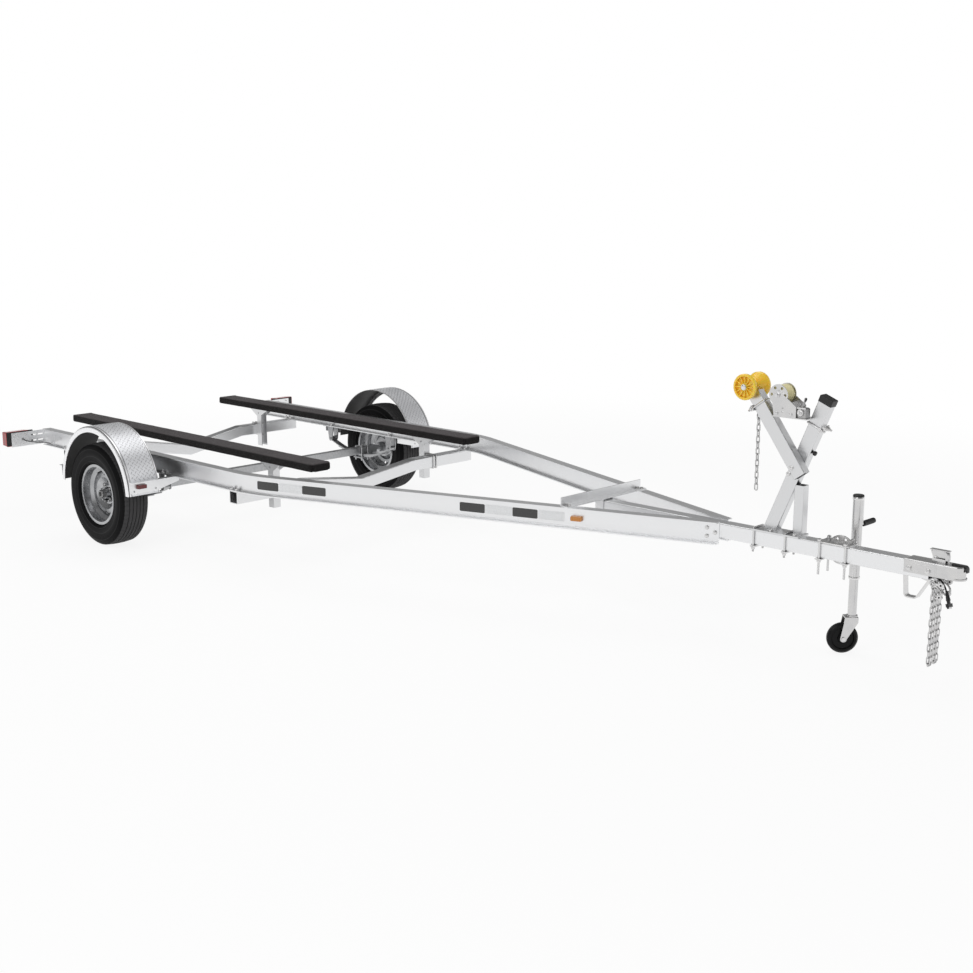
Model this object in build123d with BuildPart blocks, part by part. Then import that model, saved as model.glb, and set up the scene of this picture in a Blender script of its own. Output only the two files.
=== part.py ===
from build123d import *
import os
from math import asin, atan2, cos, degrees, hypot, radians, sin, sqrt, tan

# Boat trailer: two bolted aluminium I-beam rails that close in on a square tongue,
# one leaf-sprung axle, carpeted bunks, a winch stand and a swivel jack.
# Frame: origin on the ground at mid length and mid width, +X to the coupler, +Y left, +Z up.
# All lengths are in millimetres and all angles in degrees; "ahead" is along X from the axle.
os.makedirs("parts", exist_ok=True)

# ---------------------------------------------------------------- shared sizes
axle_x = -1950.0              # axle from the origin
seat = 0.3                    # running and seating gap
sides = ((1, "left"), (-1, "right"))

# Tyres
tyre_radius = 331.5
tyre_width = 205.0
tread_half = 80.0
tread_drop = 6.0
widest_radius = 262.0
half_track = 1180.0

# Wheels: places along the axle are from the disc's mounting face, outwards
rim_seat_radius = 177.8
rim_lip_radius = 195.0
rim_half = 82.0
rim_wall = 4.0
well_radius = 150.0
well_inner = 30.0
well_outer = 20.0
well_slope_inner = 8.0
well_slope_outer = 14.0
seat_rise = 3.0
disc_wall = 6.0
disc_crown_radius = 105.0
disc_crown_rise = 22.0
disc_dip_radius = 129.0
disc_dip = 4.0
disc_rim_rise = 6.0
disc_corner = 4.0
hub_bore_radius = 42.0
hand_hole_radius = 10.0
hand_hole_circle = 128.0
hand_hole_count = 8
stud_circle_radius = 57.15
stud_radius = 6.5
stud_count = 5
stud_length = 28.0

# Hubs and spindles
hub_face_radius = 76.0
hub_flange_radius = 68.0
hub_flange_wall = 12.0
hub_barrel_radius = 38.0
hub_barrel_taper = 5.0
hub_inner_reach = 55.0
hub_outer_reach = 34.0
hub_cap_radius = 27.0
hub_cap_reach = 62.0
hub_cap_round = 8.0
spindle_radius = 16.0
spindle_reach = 16.0
spindle_root = 60.0

# Rails
rail_inset = 217.0            # rail's web inside the middle of the tyre
rail_bottom = 475.0
rail_depth = 115.0
rail_width = 64.0
rail_flange = 6.0
rail_web = 6.0
rail_rear = -1180.0           # ahead
rail_bend = 1245.0            # ahead
rail_front = 3915.0           # ahead
rail_front_y = 38.4
rail_bend_radius = 900.0
rail_overrun = 150.0          # drawn past the front end and cut off square

# Tongue and the angle that carries its rear end
tongue_size = 76.2
tongue_wall = 4.8
tongue_corner = 6.0
tongue_bottom = 507.0
tongue_rear = 3105.0          # ahead
tongue_front = 5035.0         # ahead
cross_bar_ahead = 3140.0
cross_bar_size = 50.0
cross_bar_wall = 6.0

# Crossmembers
cross_size = 76.2
cross_wall = 5.0
cross_corner = 6.0
cross_past_rail = 27.0
cross_knee_y = 462.0
cross_rear_ahead = -863.0
cross_rear_drop = 84.0
cross_front_ahead = 1098.0
cross_front_drop = 60.0

# Axle and springs
axle_tube = 50.8
axle_tube_wall = 5.0
axle_tube_inset = 88.0        # tube's end inside the middle of the tyre
axle_plug = 8.0
spring_half = 330.0
spring_eye_z = 385.0
spring_width = 44.5
leaf_wall = 7.0
eye_outer_radius = 15.0
eye_bolt_radius = 7.0
eye_bolt_tail = 8.0
hanger_wall = 6.0
hanger_length = 64.0
hanger_toe_radius = 20.0
axle_bolt_rod = 12.0
axle_bolt_tail = 26.0
tie_plate_wall = 8.0
tie_plate_margin = 14.0
tie_plate_corner = 8.0
leaf_table = (                # leaf below the axle, share of the main leaf's half length
    (0, 1.0),
    (1, 0.74),
    (2, 0.46),
)

# Fenders
fender_ahead = 25.0
fender_centre_z = 370.0
fender_radius = 408.0
fender_wall = 3.0
fender_inside = 105.0         # inner edge inside the middle of the tyre
fender_outside = 115.0        # outer edge outside the middle of the tyre
fender_skirt = 38.0
fender_edge_radius = 14.0
fender_front_angle = 2.0
fender_rear_angle = 178.0
bracket_wall = 5.0
bracket_flange = 36.0
bracket_past_rail = 28.0
bracket_inset = 6.0
bracket_depth = 78.0
bracket_corner = 14.0
bracket_step = 30.0
bracket_hole_radius = 6.0
bracket_hole_rise = 18.0

# Bunks and their posts
bunk_rear = -1255.0           # ahead
bunk_length = 2749.0
bunk_y = 638.0
bunk_width = 146.0
bunk_wall = 44.0
bunk_bottom = 605.0
bunk_edge_radius = 9.0
post_bottom = 313.0
post_width = 50.8
post_wall = 5.0
head_length = 200.0
head_wall = 5.0
head_drop = 60.0
head_lip = 12.0
head_hole_drop = 38.0
rod_small = 9.5               # rod of the smaller U-bolts
rod_gap = 1.0                 # round a rod in its hole and beside the bar it grips
post_bolt_pitch = 26.0
post_bolt_tail = 16.0

# Lamps
lamp_plate_behind = 31.0
lamp_plate_wall = 4.0
lamp_plate_reach = 252.0      # outwards from the rail's web
lamp_plate_leg = 110.0
lamp_plate_short = 4.0
lamp_slot_length = 40.0
lamp_slot_width = 9.0
lamp_slot_pitch_z = 40.0
lamp_slot_pitch_y = 52.0
lamp_slot_reach = 60.0
tail_lamp_width = 172.0
tail_lamp_reach = 203.0
tail_lamp_depth = 62.0
tail_lamp_bottom = 486.0
tail_lamp_top = 590.0
tail_lamp_corner = 10.0
tail_lamp_taper = 4.0
marker_ahead = 3190.0
marker_length = 66.0
marker_height = 30.0
marker_depth = 20.0
marker_corner = 8.0
marker_taper = 8.0
marker_inset = 85.0           # inwards from the fender's outer edge
marker_drop = 34.0

# Winch stand
stand_base_rear = 4100.0      # ahead
stand_base_front = 4372.0     # ahead
stand_base_width = 104.0
stand_base_wall = 8.0
stand_base_corner = 8.0
stand_tube_width = 70.0
stand_tube_thick = 50.0
stand_tube_wall = 4.0
stand_tube_corner = 5.0
stand_tube_root = 60.0        # drawn past a slanting cut
post_foot_ahead = 4180.0
post_lean = 22.4
post_top_z = 1238.0
post_cap_height = 32.0
post_cap_margin = 2.0
post_cap_edge = 4.0
brace_ahead = 4335.0
brace_size = 50.0
brace_reach = 240.0
brace_corner = 4.0
arm_top_ahead = 4088.0
arm_top_z = 1259.0
arm_lean = 36.3
arm_length = 462.0
arm_cheek = 10.0
arm_cheek_root = 50.0
arm_lid = 4.0
bow_lug_below = 110.0
bow_lug_reach = 18.0
bow_lug_wall = 5.0
bow_lug_radius = 12.0
stand_bolt_rear = 4119.0      # ahead
stand_bolt_front = 4296.0     # ahead
stand_strap_wall = 8.0
stand_strap_width = 30.0
stand_strap_corner = 5.0
stand_bolt_tail = 26.0
nut_radius = 9.0
nut_height = 8.0
clamp_bar_wall = 6.0
clamp_bar_width = 28.0
clamp_tail = 20.0
post_clamp_z = 1130.0
arm_clamp_below = 60.0        # down the arm from its top

# Bow roller
roller_half = 70.0
roller_radius = 64.0
roller_waist_radius = 27.0
roller_pin_radius = 8.0
roller_ahead = 40.0           # past the top of the arm
roller_eye_radius = 18.0
roller_gap = 5.5
roller_waist = 10.0
roller_edge = 4.0
roller_land = 10.0
roller_flare = 8.0
roller_hollow_depth = 14.0
roller_hollow_outer = 52.0
roller_hollow_inner = 18.0
roller_rib_wall = 4.0
roller_rib_count = 12
pin_head_radius = 14.0
pin_head_wall = 4.0

# Winch
winch_ahead = 4231.0
winch_y = -14.0
winch_z = 1266.0
drum_flange_radius = 51.0
drum_flange_wall = 3.0
drum_core_radius = 24.0
drum_shaft_radius = 8.0
drum_shaft_tail = 4.0
drum_half = 40.0
drum_hole_radius = 7.0
drum_hole_circle = 37.0
drum_hole_count = 6
strap_radius = 46.0
strap_gap = 5.0
winch_frame_half = 46.0
winch_frame_wall = 5.0
winch_base_z = 1166.0
winch_base_length = 300.0
winch_base_ahead = 30.0
winch_hood_radius = 22.0
winch_hood_start = 45.0
winch_hood_sweep = 135.0
winch_side_front = 103.0
winch_side_rear = 28.0
winch_side_foot = 18.0
winch_side_step = 52.0
winch_side_shoulder = 60.0
winch_side_hole = 4.0
winch_side_hole_ahead = 30.0
winch_side_hole_low = 22.0
winch_side_hole_pitch = 18.0
winch_base_front = 159.0      # ahead of the drum, beside the post
gear_rear = 95.0              # ahead of the drum
gear_length = 54.0
gear_height = 50.0
gear_half = 20.0
gear_inset = 11.0
gear_edge = 6.0
pawl_rise = 46.0
pawl_lean = 12.0
pawl_wall = 5.0
pawl_width = 14.0

# Jack
jack_ahead = 4554.0
jack_y = 180.0
jack_pivot_z = 545.0
jack_tube_radius = 25.0
jack_tube_wall = 3.0
jack_tube_bottom = 376.0
jack_tube_top = 783.0
jack_leg_radius = 21.5
jack_leg_wall = 3.5
jack_leg_stroke = 172.0
jack_leg_stop = 5.0
jack_flange_wall = 6.0
jack_cap_height = 10.0
jack_cap_margin = 2.0
jack_cap_edge = 5.0
crank_z = 764.0
crank_length = 125.0
crank_rod = 12.0
crank_stand_off = 22.0
crank_tail = 8.0
grip_length = 102.0
grip_radius = 13.0
pivot_pin_radius = 12.0
pivot_radius = 32.0
pivot_boss_reach = 34.0
pivot_pin_stop = 5.0
pivot_weld = 1.0
swivel_plate_radius = 93.0
swivel_plate_wall = 6.0
swivel_hole_radius = 6.5
swivel_hole_circle = 74.0
swivel_hole_count = 8
clamp_pitch = 137.0
clamp_rod = 11.0
clamp_rod_below = 78.0
clamp_rod_above = 18.0
clamp_top_margin = 15.0
clamp_strap_width = 34.0
clamp_strap_margin = 7.0

# Caster
caster_radius = 76.0
caster_width = 38.0
caster_trail = 42.0
caster_heading = 223.4
caster_pin_radius = 6.0
caster_pin_tail = 5.0
caster_hub_radius = 22.0
caster_web_inset = 8.0
caster_web_radius = 52.0
caster_band_inset = 1.0
caster_band_radius = 66.0
caster_crown_inset = 11.0
fork_wall = 5.0
fork_gap = 5.5
fork_top_z = 186.0
fork_toe_radius = 16.0
fork_crown_front = 38.0
fork_crown_rear = 26.0
fork_corner = 6.0

# Coupler, its lever and latch
coupler_rear = 4917.0         # ahead
coupler_sleeve_front = 5072.0  # ahead
coupler_wall = 4.5
coupler_skirt_bottom = 526.0
coupler_edge = 6.0
ball_ahead = 5153.0
nose_radius = 37.0
nose_lip = 5.0
nose_lip_height = 7.0
lever_rear = 5022.0           # ahead
lever_foot = 5040.0           # ahead
lever_front = 5112.0          # ahead
lever_height = 54.0
lever_wall = 5.0
lever_lip = 26.0
lever_lip_wall = 4.0
latch_width = 22.0
latch_wall = 6.0
latch_drop = 28.0
latch_rear = 26.0             # behind the ball

# Loop behind the coupler
loop_rear = 4908.0            # ahead
loop_front = 5032.0           # ahead
loop_slope = 8.0
loop_foot = 54.0
loop_depth = 104.0
loop_width = 38.0
loop_wall = 6.0
loop_bend_radius = 14.0

# Chains
link_pitch = 29.0
link_rod = 6.5
link_width = 22.0
link_corner_share = 0.3
link_slack = 0.4
chain_pin_ahead = 5062.0
chain_pin_z = 496.0
chain_pin_radius = 4.0
chain_pin_half = 48.0
chain_ear_y = 26.2
chain_ear_wall = 4.0
chain_ear_nose = 7.0
chain_ear_root = 46.0
chain_strand_links = 13
bow_chain_links = 12

# Trailer wire: its plug and its route, laid by hand, as places ahead, along Y and along Z
wire_radius = 4.0
plug_neck_width = 18.0
plug_neck_depth = 12.0
plug_neck_length = 14.0
plug_width = 44.0
plug_depth = 14.0
plug_length = 16.0
plug_corner = 4.0
wire_route = (
    (5010.0, 12.0, 516.1),
    (5054.0, 6.0, 516.3),
    (5090.0, -4.0, 500.0),
    (5114.0, -14.0, 467.0),
    (5128.0, -20.0, 427.0),
)

# ---------------------------------------------------------------- levels and lines
rail_rear_y = half_track - rail_inset
rail_top = rail_bottom + rail_depth
rail_bend_x = axle_x + rail_bend
rail_front_x = axle_x + rail_front
rail_rear_x = axle_x + rail_rear
rail_run = hypot(rail_front_x - rail_bend_x, rail_rear_y - rail_front_y)
rail_turn = degrees(atan2(rail_rear_y - rail_front_y, rail_front_x - rail_bend_x))
tongue_top = tongue_bottom + tongue_size
tongue_z = tongue_bottom + tongue_size / 2
tongue_front_x = axle_x + tongue_front
axle_z = tyre_radius
axle_bottom = axle_z - axle_tube / 2
axle_top = axle_z + axle_tube / 2
axle_tube_half = half_track - axle_tube_inset
fender_inner_y = half_track - fender_inside
fender_outer_y = half_track + fender_outside
base_z = tongue_top + stand_base_wall


def rail_y(x):
    """Distance of a rail's web from the middle, ahead of the bend."""
    share = (x - rail_bend_x) / (rail_front_x - rail_bend_x)
    return rail_rear_y + share * (rail_front_y - rail_rear_y)


def tube_plane(foot, up):
    """Plane square to a tube that runs along up: x across the tube, y along Y."""
    return Plane(origin=foot, x_dir=Vector(0, 1, 0).cross(up), z_dir=up)


def rod_along(points, rod):
    """A round rod bent along points that share a plane."""
    with BuildPart(mode=Mode.PRIVATE) as bent:
        with BuildLine() as path:
            FilletPolyline(*points, radius=0.75 * rod)
        with BuildSketch(Plane(origin=path.line @ 0, z_dir=path.line % 0)):
            Circle(rod / 2)
        sweep()
    return bent.part


def save(piece, name):
    """Label a finished piece and write it."""
    piece.part.label = name
    export_step(piece.part, f"parts/{name}.step")


# ---------------------------------------------------------------- rails
for side, name in sides:
    with BuildPart() as rail:
        layers = (                      # height of the layer's foot, its height, its width
            (rail_bottom, rail_flange, rail_width),
            (rail_bottom + rail_flange, rail_depth - 2 * rail_flange, rail_web),
            (rail_top - rail_flange, rail_flange, rail_width),
        )
        bend = Vector(rail_bend_x, side * rail_rear_y)
        front = Vector(rail_front_x, side * rail_front_y)
        drawn_end = bend + (front - bend) * (1 + rail_overrun / rail_run)
        for foot, height, width in layers:
            with BuildSketch(Plane.XY.offset(foot)):
                with BuildLine():
                    FilletPolyline((rail_rear_x, side * rail_rear_y), bend, drawn_end,
                                   radius=rail_bend_radius)
                trace(line_width=width)
            extrude(amount=height)
        # The front ends are cut square to the trailer and close on the sides of the tongue.
        with BuildSketch(Plane.XY.offset(rail_bottom)):
            with Locations((rail_front_x, 0)):
                Rectangle(2 * rail_overrun, 4 * rail_width, align=(Align.MIN, Align.CENTER))
            with Locations((rail_front_x, 0)):
                Rectangle(2 * rail_width / sin(radians(rail_turn)), tongue_size + 2 * seat)
        extrude(amount=rail_depth, mode=Mode.SUBTRACT)
    save(rail, f"rail_{name}")

# ---------------------------------------------------------------- tongue
with BuildPart() as tongue:
    with BuildSketch(Plane.YZ.offset(axle_x + tongue_rear)):
        with Locations((0, tongue_z)):
            RectangleRounded(tongue_size, tongue_size, tongue_corner)
            RectangleRounded(
                tongue_size - 2 * tongue_wall, tongue_size - 2 * tongue_wall,
                tongue_corner - tongue_wall, mode=Mode.SUBTRACT,
            )
    extrude(amount=tongue_front - tongue_rear)
save(tongue, "tongue")

# Angle across both rails; two straps come down from it and meet under the tongue.
cross_bar_x = axle_x + cross_bar_ahead
cross_bar_half = rail_y(cross_bar_x) + rail_width / 2
with BuildPart() as tongue_cross_bar:
    with BuildSketch(Plane.XZ.offset(-cross_bar_half)):
        with Locations((cross_bar_x - cross_bar_size / 2, rail_top)):
            Rectangle(cross_bar_size, cross_bar_wall, align=(Align.MIN, Align.MIN))
            Rectangle(cross_bar_wall, cross_bar_size, align=(Align.MIN, Align.MIN))
    extrude(amount=2 * cross_bar_half)
    with BuildSketch(Plane.YZ.offset(cross_bar_x - cross_bar_size / 2)):
        with Locations((0, tongue_bottom - cross_bar_wall)):
            Rectangle(
                tongue_size + 2 * cross_bar_wall, rail_top - tongue_bottom + cross_bar_wall,
                align=(Align.CENTER, Align.MIN),
            )
        with Locations((0, tongue_bottom)):
            Rectangle(tongue_size, rail_top - tongue_bottom, align=(Align.CENTER, Align.MIN),
                      mode=Mode.SUBTRACT)
    extrude(amount=cross_bar_size)
save(tongue_cross_bar, "tongue_cross_bar")

# ---------------------------------------------------------------- crossmembers
# Square tubes under the rails, mitred at the knees and at the middle of the drop
cross_table = (                         # place ahead, drop at mid width, name
    (cross_rear_ahead, cross_rear_drop, "rear"),
    (cross_front_ahead, cross_front_drop, "front"),
)
cross_z = rail_bottom - cross_size / 2
cross_half_length = rail_rear_y + cross_past_rail
for ahead, cross_drop, name in cross_table:
    with BuildPart() as crossmember:
        with BuildLine(Plane.YZ.offset(axle_x + ahead)) as course:
            Polyline(
                (-cross_half_length, cross_z), (-cross_knee_y, cross_z),
                (0, cross_z - cross_drop), (cross_knee_y, cross_z),
                (cross_half_length, cross_z),
            )
        with BuildSketch(Plane(origin=course.line @ 0, x_dir=(1, 0, 0), z_dir=(0, 1, 0))):
            RectangleRounded(cross_size, cross_size, cross_corner)
            RectangleRounded(cross_size - 2 * cross_wall, cross_size - 2 * cross_wall,
                             cross_corner - cross_wall, mode=Mode.SUBTRACT)
        sweep(transition=Transition.RIGHT)
    save(crossmember, f"crossmember_{name}")

# ---------------------------------------------------------------- axle and springs
with BuildPart() as axle:
    with BuildSketch(Plane.XZ.offset(axle_tube_half)):
        with Locations((axle_x, axle_z)):
            Rectangle(axle_tube, axle_tube)
            Rectangle(axle_tube - 2 * axle_tube_wall, axle_tube - 2 * axle_tube_wall,
                      mode=Mode.SUBTRACT)
    extrude(amount=-2 * axle_tube_half)
    for side, name in sides:
        with BuildSketch(Plane.XZ.offset(-side * (axle_tube_half - spindle_root))):
            with Locations((axle_x, axle_z)):
                Circle(spindle_radius)
        extrude(amount=-side * (half_track - axle_tube_half + spindle_root + spindle_reach))
        with BuildSketch(Plane.XZ.offset(-side * (axle_tube_half - axle_plug))):
            with Locations((axle_x, axle_z)):
                Rectangle(axle_tube, axle_tube)
        extrude(amount=-side * axle_plug)
save(axle, "axle")

# The springs hang below the axle: three leaves, longest on top, bent through the same seat.
leaf_top = axle_bottom - 1.5 * seat
spring_rise = spring_eye_z - eye_outer_radius + leaf_wall / 2 - (leaf_top - leaf_wall / 2)
spring_bend = (spring_half ** 2 + spring_rise ** 2) / (2 * spring_rise)
with BuildPart() as leaf_springs:
    for side, name in sides:
        near_face = Plane.XZ.offset(-side * rail_rear_y + spring_width / 2)
        for below, share in leaf_table:
            centre = (axle_x, leaf_top - below * leaf_wall + spring_bend)
            reach = degrees(asin(share * spring_half / spring_bend))
            with BuildSketch(near_face):
                with BuildLine():
                    inner_arc = CenterArc(centre, spring_bend, -90 - reach, 2 * reach)
                    outer_arc = CenterArc(centre, spring_bend + leaf_wall, -90 - reach,
                                          2 * reach)
                    Line(inner_arc @ 0, outer_arc @ 0)
                    Line(inner_arc @ 1, outer_arc @ 1)
                make_face()
            extrude(amount=-spring_width)
        for end in (-1, 1):
            with BuildSketch(near_face):
                with Locations((axle_x + end * spring_half, spring_eye_z)):
                    Circle(eye_outer_radius)
                    Circle(eye_bolt_radius + seat, mode=Mode.SUBTRACT)
            extrude(amount=-spring_width)
save(leaf_springs, "leaf_springs")

# Channel hangers under the rails, with the bolts that carry the spring eyes
hanger_inner = spring_width + 4 * seat
with BuildPart() as spring_hangers:
    for side, name in sides:
        for end in (-1, 1):
            eye_x = axle_x + end * spring_half
            for cheek in (-1, 1):
                cheek_y = side * rail_rear_y + cheek * (hanger_inner + hanger_wall) / 2
                with BuildSketch(Plane.XZ.offset(-cheek_y - hanger_wall / 2)):
                    with BuildLine():
                        toe = CenterArc((eye_x, spring_eye_z), hanger_toe_radius, 180, 180)
                        Polyline(
                            toe @ 1, (eye_x + hanger_length / 2, rail_bottom),
                            (eye_x - hanger_length / 2, rail_bottom), toe @ 0,
                        )
                    make_face()
                extrude(amount=hanger_wall)
            with BuildSketch(Plane.XY.offset(rail_bottom)):
                with Locations((eye_x, side * rail_rear_y)):
                    Rectangle(hanger_length, hanger_inner + 2 * hanger_wall)
            extrude(amount=-hanger_wall)
            with BuildSketch(Plane.XZ.offset(-side * rail_rear_y)):
                with Locations((eye_x, spring_eye_z)):
                    Circle(eye_bolt_radius)
            extrude(amount=hanger_inner / 2 + hanger_wall + eye_bolt_tail, both=True)
save(spring_hangers, "spring_hangers")

# Tie plates below the springs and U-bolts over the axle
stack_bottom = leaf_top - len(leaf_table) * leaf_wall
bolt_half_x = axle_tube / 2 + axle_bolt_rod / 2 + 2 * rod_gap
bolt_half_y = spring_width / 2 + axle_bolt_rod / 2 + rod_gap
crown_z = axle_top + axle_bolt_rod / 2 + seat
bolts = []
for side, name in sides:
    for end in (-1, 1):
        bolt_y = side * rail_rear_y + end * bolt_half_y
        bolts.append(rod_along(
            ((axle_x - bolt_half_x, bolt_y, stack_bottom - axle_bolt_tail),
             (axle_x - bolt_half_x, bolt_y, crown_z),
             (axle_x + bolt_half_x, bolt_y, crown_z),
             (axle_x + bolt_half_x, bolt_y, stack_bottom - axle_bolt_tail)),
            axle_bolt_rod,
        ))
with BuildPart() as axle_clamps:
    for side, name in sides:
        with BuildSketch(Plane.XY.offset(stack_bottom - seat)):
            with Locations((axle_x, side * rail_rear_y)):
                RectangleRounded(2 * (bolt_half_x + tie_plate_margin),
                                 2 * (bolt_half_y + tie_plate_margin), tie_plate_corner)
        extrude(amount=-tie_plate_wall)
    add(bolts)
save(axle_clamps, "axle_clamps")

# ---------------------------------------------------------------- hubs, wheels and tyres
for side, name in sides:
    centre = Vector(axle_x, side * half_track, axle_z)
    outward = Plane(origin=centre, x_dir=(1, 0, 0), z_dir=(0, side, 0))
    section = Plane(origin=centre, x_dir=(0, side, 0), z_dir=(side, 0, 0))
    spin = Axis(centre, (0, side, 0))
    with BuildPart() as hub:
        with BuildSketch(section):
            with BuildLine():
                Polyline(
                    (-hub_inner_reach, spindle_radius + seat),
                    (-hub_inner_reach, hub_barrel_radius - hub_barrel_taper),
                    (-hub_flange_wall - seat, hub_barrel_radius),
                    (-hub_flange_wall - seat, hub_flange_radius),
                    (-seat, hub_flange_radius),
                    (-seat, hub_barrel_radius),
                    (hub_outer_reach, hub_barrel_radius - hub_barrel_taper),
                    (hub_outer_reach, hub_cap_radius),
                    (hub_cap_reach - hub_cap_round, hub_cap_radius),
                    (hub_cap_reach, hub_cap_radius - hub_cap_round),
                    (hub_cap_reach, 0),
                    (spindle_reach + hub_cap_round, 0),
                    (spindle_reach + hub_cap_round, spindle_radius + seat),
                    (-hub_inner_reach, spindle_radius + seat),
                )
            make_face()
        revolve(axis=spin)
        with BuildSketch(outward.offset(-seat)):
            with PolarLocations(stud_circle_radius, stud_count, start_angle=90):
                Circle(stud_radius)
        extrude(amount=stud_length)
    save(hub, f"hub_{name}")

    # One profile for the rim, bent from even sheet, and one for the pressed disc
    seat_top = rim_seat_radius + rim_wall
    lip_in = rim_half - rim_wall
    with BuildPart() as wheel:
        with BuildSketch(section):
            with BuildLine():
                Polyline(
                    (-rim_half, rim_lip_radius),
                    (-rim_half, rim_seat_radius),
                    (-well_inner - well_slope_inner, rim_seat_radius - seat_rise),
                    (-well_inner, well_radius),
                    (well_outer, well_radius),
                    (well_outer + well_slope_outer, rim_seat_radius - seat_rise),
                    (rim_half, rim_seat_radius),
                    (rim_half, rim_lip_radius),
                    (lip_in, rim_lip_radius),
                    (lip_in, seat_top),
                    (well_outer + well_slope_outer - rim_wall, seat_top - seat_rise),
                    (well_outer - rim_wall, well_radius + rim_wall),
                    (-well_inner + rim_wall, well_radius + rim_wall),
                    (-well_inner - well_slope_inner + rim_wall, seat_top - seat_rise),
                    (-lip_in, seat_top),
                    (-lip_in, rim_lip_radius),
                    (-rim_half, rim_lip_radius),
                )
            make_face()
            with BuildLine():
                Polyline(
                    (0, hub_bore_radius),
                    (0, hub_face_radius),
                    (disc_crown_rise, disc_crown_radius),
                    (disc_crown_rise - disc_dip, disc_dip_radius - disc_corner / 2),
                    (disc_rim_rise, well_radius + seat),
                    (disc_rim_rise + disc_wall, well_radius + seat),
                    (disc_crown_rise + disc_wall - disc_dip, disc_dip_radius),
                    (disc_crown_rise + disc_wall, disc_crown_radius),
                    (disc_wall, hub_face_radius - disc_corner),
                    (disc_wall, hub_bore_radius),
                    (0, hub_bore_radius),
                )
            make_face()
        revolve(axis=spin)
        with BuildSketch(outward):
            with PolarLocations(stud_circle_radius, stud_count, start_angle=90):
                Circle(stud_radius + seat)
        extrude(amount=disc_wall, mode=Mode.SUBTRACT)
        with BuildSketch(outward):
            with PolarLocations(hand_hole_circle, hand_hole_count):
                Circle(hand_hole_radius)
        extrude(amount=disc_crown_rise + disc_wall, mode=Mode.SUBTRACT)
    save(wheel, f"wheel_{name}")

    with BuildPart() as tyre:
        half = tyre_width / 2
        bead = lip_in - seat
        bore = seat_top + seat
        bead_top = rim_lip_radius + 4 * seat
        flank = rim_half + seat
        shoulder = tyre_radius - tread_drop
        with BuildSketch(section):
            with BuildLine():
                ThreePointArc((-tread_half, shoulder), (0, tyre_radius), (tread_half, shoulder))
                ThreePointArc((tread_half, shoulder), (half, widest_radius), (flank, bead_top))
                Polyline((flank, bead_top), (bead, bead_top), (bead, bore), (-bead, bore),
                         (-bead, bead_top), (-flank, bead_top))
                ThreePointArc((-flank, bead_top), (-half, widest_radius),
                              (-tread_half, shoulder))
            make_face()
        revolve(axis=spin)
    save(tyre, f"tyre_{name}")

# ---------------------------------------------------------------- fenders
# Each fender is a solid arch less a smaller one, so that its outer edge rolls into a skirt.
fender_x = axle_x + fender_ahead
fender_sweep = fender_rear_angle - fender_front_angle
fender_passes = (                       # set-in of the outer face, outer and inner radius
    (0.0, fender_radius, fender_radius - fender_skirt),
    (fender_wall, fender_radius - fender_wall, fender_radius - 2 * fender_skirt),
)
for side, name in sides:
    arches = []
    for set_in, big_radius, small_radius in fender_passes:
        with BuildPart() as arch:
            with BuildSketch(Plane.XZ.offset(-side * (fender_outer_y - set_in))):
                with BuildLine():
                    big = CenterArc((fender_x, fender_centre_z), big_radius,
                                    fender_front_angle, fender_sweep)
                    small = CenterArc((fender_x, fender_centre_z), small_radius,
                                      fender_front_angle, fender_sweep)
                    Line(big @ 0, small @ 0)
                    Line(big @ 1, small @ 1)
                make_face()
            extrude(amount=side * (fender_outer_y - fender_inner_y))
            outer_face = arch.faces().sort_by(Axis.Y)[-1 if side > 0 else 0]
            fillet(outer_face.edges().sort_by(SortBy.LENGTH)[-1],
                   radius=fender_edge_radius - set_in)
        arches.append(arch.part)
    with BuildPart() as fender:
        add(arches[0])
        add(arches[1], mode=Mode.SUBTRACT)
    save(fender, f"fender_{name}")

# Angles that carry the fender ends from below the rails
bracket_low_z = rail_bottom - bracket_depth
bracket_reach = sqrt(fender_radius ** 2 - (bracket_low_z - fender_centre_z) ** 2) + seat
bracket_inner_y = rail_rear_y - bracket_past_rail
bracket_outer_y = fender_outer_y - bracket_inset
with BuildPart() as fender_brackets:
    for side, name in sides:
        for end in (-1, 1):
            face_x = fender_x + end * bracket_reach
            with BuildSketch(Plane.YZ.offset(face_x)):
                with BuildLine():
                    Polyline(
                        (side * bracket_inner_y, rail_bottom),
                        (side * bracket_outer_y, rail_bottom),
                        (side * bracket_outer_y, bracket_low_z + bracket_corner),
                        (side * (bracket_outer_y - bracket_corner), bracket_low_z),
                        (side * (fender_inner_y + bracket_step), bracket_low_z),
                        (side * bracket_inner_y, rail_bottom - bracket_flange),
                        (side * bracket_inner_y, rail_bottom),
                    )
                make_face()
                with Locations(*[(side * y, bracket_low_z + bracket_hole_rise) for y in
                                 (bracket_outer_y - bracket_step, fender_inner_y + bracket_step)]):
                    Circle(bracket_hole_radius, mode=Mode.SUBTRACT)
            extrude(amount=end * bracket_wall)
            with BuildSketch(Plane.XY.offset(rail_bottom)):
                with Locations((face_x + end * bracket_flange / 2,
                                side * (bracket_inner_y + bracket_outer_y) / 2)):
                    Rectangle(bracket_flange, bracket_outer_y - bracket_inner_y)
            extrude(amount=-bracket_wall)
save(fender_brackets, "fender_brackets")

# ---------------------------------------------------------------- bunks
bunk_centre_x = axle_x + bunk_rear + bunk_length / 2
for side, name in sides:
    with BuildPart() as bunk:
        with BuildSketch(Plane.XY.offset(bunk_bottom)):
            with Locations((bunk_centre_x, side * bunk_y)):
                Rectangle(bunk_length, bunk_width)
        extrude(amount=bunk_wall)
        fillet(bunk.edges(), radius=bunk_edge_radius)
    save(bunk, f"bunk_{name}")

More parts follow.
